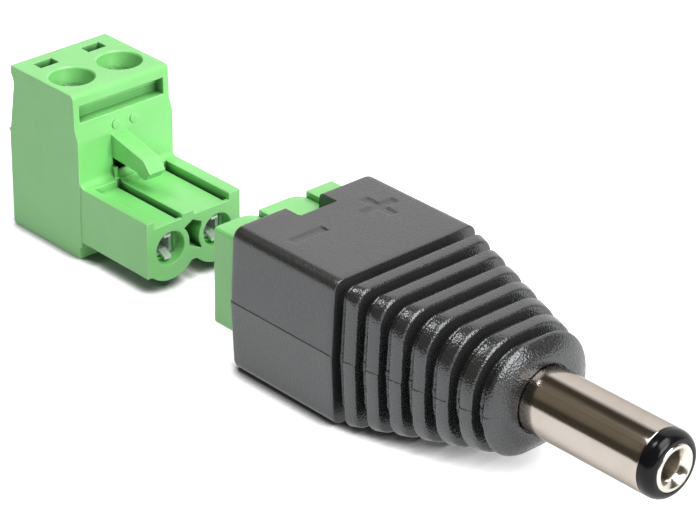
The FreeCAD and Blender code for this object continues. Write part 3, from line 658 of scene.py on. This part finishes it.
@dataclass
class Moulding:
    """Black overmoulding as one closed skin: drafted block, ribbed tail, nose and inner lining."""

    half_width: float = 7.76
    height: float = 12.6
    block_length: float = 12.0
    edge_radius: float = 0.95
    draft: float = 0.3
    parting_step: float = 0.05
    rib_count: int = 6
    rib_pitch: float = 2.14
    rib_thickness: float = 1.12
    groove_depth: float = 1.0
    groove_fill: float = 0.14
    wall_share: float = 0.55
    nose_length: float = 1.2
    nose_half_width: float = 5.35
    nose_half_height: float = 4.75
    nose_radius: float = 4.5
    nose_edge: float = 1.5
    nose_reach: float = 0.6
    nose_turn: float = 40.0
    soft_edge: float = 0.22
    front_edge: float = 0.1
    back_edge: float = 0.5
    notch_depth: float = 1.96
    notch_low: float = -2.05
    notch_high: float = 1.8
    notch_floor: float = 10.38
    mark_x: float = 4.9
    mark_y: float = 3.7
    mark_length: float = 3.5
    mark_width: float = 0.75
    mark_depth: float = 0.11
    rim: float = 0.24
    ease: float = 0.06
    flat_reach: float = 5.8
    flat_share: float = 0.96
    least_flat: float = 0.1
    top_slack: float = 0.01
    barrel_radius: float = 2.585
    gap_radius: float = 2.85
    gap_depth: float = 0.2
    barrel_grip: float = 9.0
    header_half_width: float = 6.33
    header_half_height: float = 4.28
    header_centre_z: float = 6.65
    header_length: float = 8.7
    header_wall: float = 0.02
    mouth_depth: float = 1.0
    hollow_start: float = 10.0
    hollow_run: float = 3.0
    hollow_widths: tuple[float, ...] = (4.4, 5.4, 6.3)
    hollow_heights: tuple[float, ...] = (3.9, 4.1, 4.2)
    hollow_radius: float = 0.3
    lines_across: int = 25
    lines_along: int = 22
    front_steps: int = 5
    round_steps: int = 6
    fill_steps: int = 4
    side_steps: int = 7
    corner_steps: int = 15
    nose_steps: int = 9
    dome_steps: int = 8
    sharp: float = 38.0

    @property
    def axis(self) -> float:
        """Height of the barrel's axis and of the parting line."""
        return self.height / 2.0

    @property
    def tail_end(self) -> float:
        """Where the nose starts, from the block's back."""
        return self.block_length + (self.rib_count + 1) * self.rib_pitch - self.rib_thickness

    @property
    def mark_halves(self) -> tuple[float, float]:
        """Half the width and half the length of a mark's stroke."""
        return self.mark_width / 2.0, self.mark_length / 2.0

    def with_walls(self, walls: list[float], low: float, high: float, count: int) -> np.ndarray:
        """Grid lines from low to high, with four close ones at each wall in place of plain ones.

        Args:
            walls: middles of the walls of the notch and the marks.
            low: first plain line.
            high: last plain line.
            count: number of plain lines.

        Returns:
            The lines' places, rising.
        """
        near = self.rim / 2.0
        beside = np.array([-near - self.ease, -near, near, near + self.ease])
        close = np.concatenate([wall + beside for wall in walls])
        plain = np.linspace(low, high, count)
        clear = np.min(np.abs(plain[:, None] - close[None, :]), axis=1) > self.rim
        return np.sort(np.concatenate([plain[clear], close]))

    def top_lines(self) -> np.ndarray:
        """Grid lines across the flat top, close at the walls that run along the block.

        Returns:
            Each line's y, falling.
        """
        thin, half = self.mark_halves
        walls = [self.notch_low, self.notch_high, -self.mark_y - half, -self.mark_y + half,
                 self.mark_y - half, self.mark_y + half, self.mark_y - thin, self.mark_y + thin]
        return self.with_walls(walls, -self.flat_reach, self.flat_reach, self.lines_across)[::-1]

    def block_lines(self) -> np.ndarray:
        """Grid lines along the block, close at the walls that run across it.

        Returns:
            Each line's x from the block's back, rising.
        """
        thin, half = self.mark_halves
        walls = [self.notch_depth, self.mark_x - thin, self.mark_x + thin,
                 self.mark_x - half, self.mark_x + half]
        return self.with_walls(walls, self.back_edge, self.block_length - self.front_edge,
                               self.lines_along)

    def crown(self, start: float, end: float) -> np.ndarray:
        """Profile over one rib: up a wall, round a corner, across and down again.

        Args:
            start: x of the rib's rear wall.
            end: x of its front wall.

        Returns:
            Rows of (x, inset).
        """
        r = self.soft_edge
        wall = self.groove_depth * self.wall_share
        rise = arc((start + r, -r), r, 180.0, 90.0, self.round_steps)
        fall = arc((end - r, -r), r, 90.0, 0.0, self.round_steps)
        return np.concatenate([[[start, -wall]], rise, fall, [[end, -wall]]]) * INSET

    def groove_floor(self, start: float, end: float) -> np.ndarray:
        """Profile along the bottom of one groove, with small filled corners.

        Args:
            start: x of the groove's rear wall.
            end: x of its front wall.

        Returns:
            Rows of (x, inset).
        """
        r = self.groove_fill
        low = arc((start + r, r - self.groove_depth), r, 180.0, 270.0, self.fill_steps)
        high = arc((end - r, r - self.groove_depth), r, 270.0, 360.0, self.fill_steps)
        return np.concatenate([low, high]) * INSET

    def outer_profile(self) -> np.ndarray:
        """Whole outer profile, from the back edge to the nose's face.

        The nose's shoulder is an ellipse: x + reach sin a, and a shrink of edge (1 - cos a).

        Returns:
            Rows of (x, inset, shrink).
        """
        r = self.soft_edge
        end = self.block_length
        wall = self.groove_depth * self.wall_share
        steps = self.nose_steps
        flat = self.block_lines()
        back = arc((self.back_edge, -self.back_edge), self.back_edge, 180.0, 90.0, steps)[:-1]
        front = arc((end - self.front_edge, -self.front_edge), self.front_edge, 90.0, 0.0,
                    self.front_steps)[1:]
        pieces = [back * INSET, np.column_stack([flat, 0.0 * flat]), front * INSET,
                  [[end, wall]]]
        groove = self.rib_pitch - self.rib_thickness
        for number in range(self.rib_count + 1):
            start = end + number * self.rib_pitch
            pieces.append(self.groove_floor(start, start + groove))
            if number < self.rib_count:
                pieces.append(self.crown(start + groove, start + self.rib_pitch))
        nose = self.tail_end
        pieces.append([[nose, wall]])
        pieces.append(arc((nose + r, -r), r, 180.0, 90.0, self.round_steps) * INSET)
        rows = np.concatenate(pieces)
        rows = np.column_stack([rows, 0.0 * rows[:, 0]])
        angle = np.radians(np.linspace(0.0, self.nose_turn, steps)[1:])
        shoulder = np.column_stack([nose + r + self.nose_reach * np.sin(angle), 0.0 * angle,
                                    self.nose_edge * (1.0 - np.cos(angle))])
        return np.concatenate([rows, shoulder])

    def section(self, x: np.ndarray, half: np.ndarray, tall: np.ndarray, radius: np.ndarray,
                draft: np.ndarray, centre_z: float) -> np.ndarray:
        """Rounded rectangles, one per row, each side sloped in from the parting line.

        The flat top keeps its lines at fixed Y on the block and squeezes them on the tail. The
        corners are quarter circles and the sides run straight from the parting line to them.

        Args:
            x: place of each row.
            half: half width at the parting line.
            tall: half height.
            radius: corner radius.
            draft: how far each side leans in.
            centre_z: height of the parting line.

        Returns:
            An array of shape (rows, stations, 3).
        """
        side = (half - draft)[:, None]
        half = half[:, None]
        up = (tall - radius)[:, None]
        tall = tall[:, None]
        radius = radius[:, None]
        rise = np.linspace(0.0, 1.0, self.side_steps)[None, :]
        turn = np.radians(np.linspace(0.0, 90.0, self.corner_steps))[None, 1:-1]
        edge = side - radius
        reach = np.minimum(self.flat_reach, self.flat_share * edge)
        lines = self.top_lines()[None, :] / self.flat_reach * reach
        flat = np.concatenate([edge, lines, -edge], axis=1)
        top = tall + 0.0 * flat
        corner_y = edge + radius * np.cos(turn)
        corner_z = up + radius * np.sin(turn)
        upper = lerp(half - self.parting_step, side, rise)
        lower = lerp(half, side, rise)
        post = rise * up
        y = [upper, corner_y, flat, -corner_y[:, ::-1], -upper[:, ::-1],
             -lower, -corner_y, -flat, corner_y[:, ::-1], lower[:, ::-1]]
        z = [post, corner_z, top, corner_z[:, ::-1], post[:, ::-1],
             -post, -corner_z, -top, -corner_z[:, ::-1], -post[:, ::-1]]
        y = np.concatenate(y, axis=1)
        return np.stack([x[:, None] + 0.0 * y, y, centre_z + np.concatenate(z, axis=1)], axis=-1)

    def sink(self, skin: np.ndarray) -> np.ndarray:
        """Let the notch and the polarity marks into the block's top.

        A point of the top goes down to the notch's floor where it lies inside the notch, and down
        by the marks' depth where it lies inside a mark.

        Args:
            skin: (rows, stations, 3) array of points.

        Returns:
            The same points with the top ones lowered.
        """
        x, y, z = skin[..., 0], skin[..., 1], skin[..., 2]
        on_top = z > self.height - self.back_edge - self.top_slack
        on_top &= x < self.block_length - self.front_edge
        thin, half = self.mark_halves
        across = (np.abs(x - self.mark_x) < thin) & (np.abs(np.abs(y) - self.mark_y) < half)
        along = (np.abs(x - self.mark_x) < half) & (np.abs(y - self.mark_y) < thin)
        z = np.where(on_top & (across | along), z - self.mark_depth, z)
        notch = on_top & (x < self.notch_depth) & (y > self.notch_low) & (y < self.notch_high)
        z = np.where(notch, self.notch_floor, z)
        return np.stack([x, y, z], axis=-1)

    def outer(self) -> np.ndarray:
        """Outer skin, from the block's back edge to the rim of the nose's face.

        Returns:
            An array of shape (rows, stations, 3).
        """
        x, inset, shrink = self.outer_profile().T
        share = np.clip((x - self.block_length) / (self.tail_end - self.block_length), 0.0, 1.0)
        half = lerp(self.half_width, self.nose_half_width, share) - inset - shrink
        tall = lerp(self.axis, self.nose_half_height, share) - inset - shrink
        radius = lerp(self.edge_radius, self.nose_radius, share)
        radius = np.minimum(radius, np.minimum(tall, half) - self.least_flat)
        return self.sink(self.section(x, half, tall, radius, self.draft * (1.0 - share), self.axis))

    def ring(self, x: float, radius: float, angle: np.ndarray) -> np.ndarray:
        """Circle about the barrel's axis: (x, r cos a, axis + r sin a)."""
        return np.column_stack([x + 0.0 * angle, radius * np.cos(angle),
                                self.axis + radius * np.sin(angle)])

    def lining(self, rim: np.ndarray) -> np.ndarray:
        """Nose's face and the inside, back to the header's mouth in the block.

        Rings round the barrel take each station's angle on the nose's rim; farther back the
        sections widen to the header's outline. The face swells by s (1 - s) of its depth.

        Args:
            rim: the outer skin's last row.

        Returns:
            Rows that carry on from the rim and end where the outer skin begins.
        """
        face = self.tail_end + self.nose_length
        seat = face - self.gap_depth
        angle = np.arctan2(rim[:, 2] - self.axis, rim[:, 1])
        mouth = self.ring(face, self.gap_radius, angle)
        swell = (mouth - rim) * [1.0, 0.0, 0.0]
        dome = [lerp(rim, mouth, s) + swell * s * (1.0 - s)
                for s in np.linspace(0.0, 1.0, self.dome_steps)[1:-1]]
        rings = dome + [mouth, self.ring(seat, self.gap_radius, angle),
                        self.ring(seat, self.barrel_radius, angle),
                        self.ring(face - self.barrel_grip, self.barrel_radius, angle)]
        x = np.array([face - self.hollow_start, self.header_length + self.hollow_run,
                      self.header_length, self.mouth_depth, 0.0])
        half = np.array([*self.hollow_widths, self.header_half_width, self.header_half_width])
        tall = np.array([*self.hollow_heights, self.header_half_height, self.header_half_height])
        radius = np.full_like(x, self.hollow_radius)
        back = self.section(x, half, tall, radius, np.zeros_like(x), self.header_centre_z)
        inside = (back[..., 0] < self.notch_depth) & (back[..., 2] > self.header_centre_z)
        inside &= (back[..., 1] > self.notch_low) & (back[..., 1] < self.notch_high)
        back[..., 2] = np.where(inside, self.notch_floor - self.header_wall, back[..., 2])
        return np.concatenate([np.stack(rings), back])

    def build(self) -> None:
        """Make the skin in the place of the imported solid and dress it."""
        outer = self.outer()
        rows = np.concatenate([outer, self.lining(outer[-1])])
        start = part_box("moulded_body")[0].x
        rows[..., 0] += start / MM
        skin = swept_piece("moulding_skin", rows, self.sharp)
        finish = BlackMoulding("black_moulding", start + (self.block_length + self.soft_edge) * MM)
        settle(skin, HALVES, "black_moulding", finish.build(), "moulded_body")


# Barrel


@dataclass
class Barrel:
    """Turned parts at the front: plated sleeve, black insulator and centre contact."""

    axis: float = 6.3
    radius: float = 2.75
    wall: float = 0.4
    flange: float = 0.6
    flange_radius: float = 3.3
    neck: float = 2.58
    sleeve_ease: float = 0.12
    sleeve_lip: float = 0.02
    sleeve_rings: tuple[float, float] = (0.8, 6.0)
    ring_radius: float = 2.74
    ring_face_radius: float = 2.05
    ring_length: float = 1.3
    ring_round: float = 0.72
    ring_bevel: float = 0.03
    rim_radius: float = 1.95
    rim_thickness: float = 0.35
    rim_proud: float = 0.06
    rim_round: float = 0.6
    bore_radius: float = 1.05
    bore_flare: float = 0.48
    bore_depth: float = 12.6
    bore_corner: float = 0.1
    throat_run: float = 0.16
    throat_rise: float = 0.04
    mouth_ease: float = 0.13
    contact_wall: float = 0.4
    steps: int = 128
    ease_steps: int = 7
    ring_steps: int = 16
    rim_steps: int = 8
    sharp: float = 30.0
    ring_sharp: float = 32.0

    def sleeve_profile(self, back: float, face: float, end: float) -> np.ndarray:
        """Tube with an eased rim, a thinner neck behind the nose and a flange.

        Args:
            back: x of the flange's rear.
            face: x of the moulding's nose.
            end: x of the sleeve's front.

        Returns:
            Closed loop of (x, r).
        """
        inner = self.radius - self.wall
        ease = self.sleeve_ease
        near, far = self.sleeve_rings
        return np.concatenate([
            [[back, inner], [end - self.sleeve_lip, inner]],
            arc((end - ease, self.radius - ease), ease, 0.0, 90.0, self.ease_steps),
            [[end - near, self.radius], [end - far, self.radius], [face, self.radius]],
            [[face, self.neck], [back + self.flange, self.neck]],
            [[back + self.flange, self.flange_radius], [back, self.flange_radius]],
        ])

    def insulator_profile(self, back: float, seat: float, end: float) -> np.ndarray:
        """Inner tube, then the ring whose front rounds over to its face on a quarter ellipse.

        Args:
            back: x of the tube's rear.
            seat: x of the sleeve's front.
            end: x of the ring's face.

        Returns:
            Closed loop of (x, r).
        """
        outer = self.radius - self.wall
        inner = self.bore_radius + self.contact_wall
        recess = end - self.rim_thickness + self.rim_proud
        bevel = self.ring_bevel
        angle = np.radians(np.linspace(0.0, 90.0, self.ring_steps))
        nose = np.column_stack([
            end - self.ring_length * self.ring_round * (1.0 - np.cos(angle)),
            self.ring_face_radius + (self.ring_radius - self.ring_face_radius) * np.sin(angle)])
        return np.concatenate([
            [[back, inner], [recess, inner], [recess, self.rim_radius]],
            [[end - bevel, self.rim_radius], [end, self.rim_radius + bevel]],
            nose,
            [[seat + bevel, self.ring_radius], [seat, self.ring_radius - bevel]],
            [[seat, outer], [back, outer]],
        ])

    def contact_profile(self, back: float, end: float) -> np.ndarray:
        """From the bore's bottom up its conical mouth, round the rim and back to the axis.

        Args:
            back: x of the tube's rear.
            end: x of the rim's front.

        Returns:
            Open run of (x, r).
        """
        bore = self.bore_radius
        inner = bore + self.contact_wall
        mouth = bore + self.bore_flare
        throat = end - self.bore_flare
        edge = self.rim_thickness * self.rim_round
        under = end - self.rim_thickness
        bottom = end - self.bore_depth
        corner = self.bore_corner
        ease = self.mouth_ease
        return np.concatenate([
            [[bottom, 0.0], [bottom, bore - corner], [bottom + corner, bore]],
            [[throat - self.throat_run, bore], [throat, bore + self.throat_rise]],
            [[end - ease, mouth - ease], [end, mouth + ease / 2.0]],
            arc((end - edge, self.rim_radius - edge), edge, 0.0, 90.0, self.rim_steps),
            [[under, self.rim_radius], [under, inner], [back, inner], [back, 0.0]],
        ])

    def build(self) -> None:
        """Make the three turned parts in the places of their solids and dress them."""
        low, high = (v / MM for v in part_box("barrel_sleeve"))
        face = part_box("moulded_body")[1].x / MM
        sleeve = turned(self.sleeve_profile(low.x, face, high.x), self.axis, self.steps)
        plate = PlatedMetal("nickel_plate", (0.47, 0.425, 0.385), (0.41, 0.365, 0.32), 0.12,
                            Lay.ALONG_X)
        settle(swept_piece("barrel_tube", sleeve, self.sharp), HALVES, "nickel_plate",
               plate.build(), "barrel_sleeve")
        back, tip = (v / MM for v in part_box("barrel_insulator"))
        ring = turned(self.insulator_profile(back.x, high.x, tip.x), self.axis, self.steps)
        gloss = GlossPlastic("black_insulator", (0.004, 0.004, 0.005), 0.17)
        settle(swept_piece("tip_insulator", ring, self.ring_sharp), HALVES, "black_insulator",
               gloss.build(), "barrel_insulator")
        low, high = (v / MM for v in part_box("centre_contact"))
        tube = turned(self.contact_profile(low.x, high.x), self.axis, self.steps)
        shine = PlatedMetal("centre_plate", (0.70, 0.67, 0.62), (0.52, 0.47, 0.40), 0.2,
                            Lay.ROUND_X)
        settle(capped_piece("tip_contact", tube, self.sharp), HALVES, "centre_plate",
               shine.build(), "centre_contact")


# Green terminal and header


@dataclass
class Terminal:
    """Screw terminal and header: both mouldings and the metal inside them."""

    colour: Colour = (0.226, 0.682, 0.195)
    deep: Colour = (0.210, 0.652, 0.180)
    sharp: float = 24.0
    metals: tuple[tuple[str, PlatedMetal], ...] = (
        ("clamp_screw_",
         PlatedMetal("zinc_screw", (0.62, 0.63, 0.64), (0.50, 0.50, 0.46), 0.28, Lay.FLAT_Z)),
        ("clamp_cage_",
         PlatedMetal("zinc_cage", (0.60, 0.60, 0.58), (0.50, 0.48, 0.42), 0.30, Lay.FLAT_Z)),
        # painted reflection: the tinned contact's green tint stands for light from the green
        # housing round it
        ("socket_contact_",
         PlatedMetal("tinned_contact", (0.64, 0.72, 0.66), (0.50, 0.58, 0.52), 0.32, Lay.ALONG_X,
                     metallic=0.35)),
        ("header_pin_",
         PlatedMetal("tinned_pin", (0.74, 0.74, 0.72), (0.60, 0.58, 0.54), 0.22, Lay.ALONG_X)),
    )

    def build(self) -> None:
        """Make both mouldings from their solids and dress them and the metal."""
        green = GreenPlastic("terminal_green", self.colour, self.deep).build()
        housing = welded_copy("terminal_housing", "terminal_moulding", self.sharp)
        settle(housing, HALVES, "terminal_green", green, "terminal_housing")
        header = GreenPlastic("header_green", self.colour, self.deep).build()
        shroud = welded_copy("header_housing", "header_moulding", self.sharp)
        settle(shroud, HALVES, "header_green", header, "header_housing")
        for start, metal in self.metals:
            finish = metal.build()
            for pole in POLES:
                dress(start + pole, finish)


@dataclass
class Links:
    """Wires, solder and tag sealed inside the moulding."""

    covers: tuple[Colour, Colour] = ((0.015, 0.015, 0.015), (0.42, 0.015, 0.012))
    cover_roughness: float = 0.4
    core: PlatedMetal = PlatedMetal(
        "copper_core", (0.78, 0.42, 0.26), (0.50, 0.25, 0.16), 0.30, Lay.ALONG_X)
    solder: PlatedMetal = PlatedMetal(
        "solder", (0.60, 0.61, 0.62), (0.45, 0.45, 0.45), 0.26, Lay.FLAT_Z, line_rise=0.000004)
    strip: PlatedMetal = PlatedMetal(
        "tinned_strip", (0.70, 0.70, 0.68), (0.56, 0.55, 0.50), 0.26, Lay.FLAT_Z)

    def build(self) -> None:
        """Dress the sealed parts."""
        copper = self.core.build()
        solder = self.solder.build()
        dress("sleeve_solder_tag", self.strip.build())
        for pole, colour in zip(POLES, self.covers):
            cover = GlossPlastic("link_cover_" + pole, colour, self.cover_roughness)
            dress("link_core_" + pole, copper)
            dress("link_cover_" + pole, cover.build())
            dress("solder_at_header_" + pole, solder)
            dress("solder_at_barrel_" + pole, solder)


# Studio


@dataclass(frozen=True)
class Lamp:
    """Square soft lamp that faces the object: place and side in metres, power in watts."""

    name: str
    place: Place
    side: float
    power: float
    tint: Colour = (1.0, 1.0, 1.0)

    def build(self) -> None:
        """Hang the lamp in the scene."""
        data = bpy.data.lights.new(self.name, "AREA")
        data.shape = "SQUARE"
        data.size = self.side
        data.energy = self.power
        data.color = self.tint
        lamp = bpy.data.objects.new(self.name, data)
        lamp.location = self.place
        lamp.rotation_mode = "QUATERNION"
        lamp.rotation_quaternion = Vector(self.place).to_track_quat("Z", "Y")
        bpy.context.scene.collection.objects.link(lamp)


@dataclass
class Studio:
    """Plain white floor, soft lamps, a pale surround with one dark side, and the camera.

    The camera's place is in millimetres.
    """

    camera_place: Place = (154.552, -141.917, 120.175)
    azimuth: float = 47.1517
    elevation: float = 28.0569
    roll: float = 0.7683
    focal_pixels: float = 3017.34
    frame_pixels: float = 700.0
    sensor: float = 36.0
    view_span: Span = (0.01, 20.0)
    floor_reach: float = 3.0
    floor_drop: float = 2e-5
    floor_lift: float = 0.92
    contact_shadow_reach: float = 0.002
    contact_shadow_span: Span = (0.52, 0.84)
    mirror_lift: float = 0.72
    white: Colour = (1.0, 1.0, 1.0)
    paper: Colour = (0.60, 0.60, 0.60)
    # painted contact shadow: the floor's colour where the object's foot closes it in
    painted_contact_shadow: Colour = (0.26, 0.26, 0.26)
    card: Colour = (1.36, 1.35, 1.33)
    card_way: Place = (-0.73, 0.68, 0.0)
    card_span: Span = (0.2, 0.32)
    card_across: Span = (0.24, 0.42)
    room: Colour = (0.098, 0.086, 0.065)
    dusk: Colour = (0.042, 0.036, 0.026)
    dim: Colour = (0.12, 0.12, 0.125)
    sheen: Colour = (0.35, 0.308, 0.232)
    sheen_way: Place = (-0.647, -0.43, 0.63)
    sheen_span: Span = (0.88, 0.985)
    streak_size: float = 0.11
    streak: Span = (0.45, 1.0)
    lamps: tuple[Lamp, ...] = (
        Lamp("key", (0.21, 0.02, 0.42), 0.28, 1.74, (1.0, 0.995, 0.985)),
        Lamp("front", (0.42, 0.03, 0.22), 0.24, 1.55),
        Lamp("spark", (-0.11, -0.12, 0.41), 0.10, 0.45),
    )

    def make_camera(self) -> None:
        """Camera that looks from its azimuth and elevation, rolled about its own axis."""
        a, e, r = (math.radians(v) for v in (self.azimuth, self.elevation, self.roll))
        back = Vector((math.sin(a) * math.cos(e), -math.cos(a) * math.cos(e), math.sin(e)))
        right = Vector((math.cos(a), math.sin(a), 0.0))
        up = back.cross(right)
        turned_right = right * math.cos(r) + up * math.sin(r)
        turned_up = up * math.cos(r) - right * math.sin(r)
        matrix = Matrix((turned_right, turned_up, back)).transposed().to_4x4()
        matrix.translation = Vector(self.camera_place) * MM
        data = bpy.data.cameras.new("camera")
        data.sensor_width = self.sensor
        data.lens = self.focal_pixels * self.sensor / self.frame_pixels
        data.clip_start, data.clip_end = self.view_span
        camera = bpy.data.objects.new("camera", data)
        camera.matrix_world = matrix
        bpy.context.scene.collection.objects.link(camera)
        bpy.context.scene.camera = camera

    def make_floor(self) -> None:
        """White floor: seen directly it is lifted towards white, keeps the object's shadow and has
        a painted contact shadow.
        """
        r = self.floor_reach
        corners = [(x, y, -self.floor_drop) for x, y in ((-r, -r), (r, -r), (r, r), (-r, r))]
        mesh = bpy.data.meshes.new("floor")
        mesh.from_pydata(corners, [], [(0, 1, 2, 3)])
        floor = bpy.data.objects.new("floor", mesh)
        bpy.context.scene.collection.objects.link(floor)
        material, graph = new_material("white_floor")
        path = graph.add("ShaderNodeLightPath").outputs
        # painted contact shadow: the open share near the object's foot darkens the paper colour and
        # cuts the lift
        clear = graph.remap(graph.openness(self.contact_shadow_reach, False), self.contact_shadow_span)
        lifted = graph.maths("MULTIPLY", clear, self.floor_lift)
        seen = graph.maths("MULTIPLY", path["Is Camera Ray"], lifted)
        mirrored = graph.maths("MAXIMUM", path["Is Transmission Ray"], path["Is Glossy Ray"])
        lift = graph.maths("ADD", seen, graph.maths("MULTIPLY", mirrored, self.mirror_lift))
        paper = graph.mix(clear, self.painted_contact_shadow, self.paper)
        diffuse = graph.add("ShaderNodeBsdfDiffuse", {"Color": paper}).outputs[0]
        glow = graph.add("ShaderNodeEmission", {"Color": (*self.white, 1.0), "Strength": lift})
        both = graph.add("ShaderNodeAddShader", {0: diffuse, 1: glow.outputs[0]}).outputs[0]
        graph.add("ShaderNodeOutputMaterial", {"Surface": both})
        mesh.materials.append(material)

    def make_surround(self) -> None:
        """Surround that is white to the eye, a card and a dark room to gloss, and dim as light.

        The card is where the ray's shares along the card's bearing and along Y are both large. A
        brown sheen lies in the room, in a disc round one direction found by a dot product.
        """
        world = bpy.data.worlds.new("surround")
        world.use_nodes = True
        bpy.context.scene.world = world
        graph = Graph(world.node_tree)
        way = graph.add("ShaderNodeTexCoord").outputs["Generated"]
        across = graph.add("ShaderNodeSeparateXYZ", {"Vector": way}).outputs["Y"]
        card = graph.maths("MULTIPLY", graph.remap(graph.dot(way, self.card_way), self.card_span),
                           graph.remap(across, self.card_across))
        cloud = graph.noise(graph.stretched(way, (0.0, 1.0, 1.0)), self.streak_size, Detail.SOFT)
        streak = graph.remap(cloud, CLOUD, self.streak)
        disc = graph.remap(graph.dot(way, self.sheen_way), self.sheen_span)
        glow = graph.maths("MULTIPLY", disc, streak)
        room = graph.mix(glow, graph.mix(streak, self.dusk, self.room), self.sheen)
        path = graph.add("ShaderNodeLightPath").outputs
        shiny = graph.maths("MAXIMUM", path["Is Glossy Ray"], path["Is Transmission Ray"])
        unseen = graph.mix(shiny, self.dim, graph.mix(card, room, self.card))
        colour = graph.mix(path["Is Camera Ray"], unseen, self.white)
        background = graph.add("ShaderNodeBackground", {"Color": colour, "Strength": 1.0})
        graph.add("ShaderNodeOutputWorld", {"Surface": background.outputs[0]})

    def build(self) -> None:
        """Set up view, floor, surround, lamps and camera."""
        bpy.context.scene.view_settings.view_transform = "Standard"
        self.make_floor()
        self.make_surround()
        for lamp in self.lamps:
            lamp.build()
        self.make_camera()


def main() -> None:
    """Build the studio and every sub-assembly in order."""
    logging.basicConfig(level=logging.INFO, format="%(name)s: %(message)s")
    for part in (Studio(), Moulding(), Barrel(), Terminal(), Links()):
        part.build()
        LOG.info("%s done", type(part).__name__)


if __name__ == "__main__":
    main()
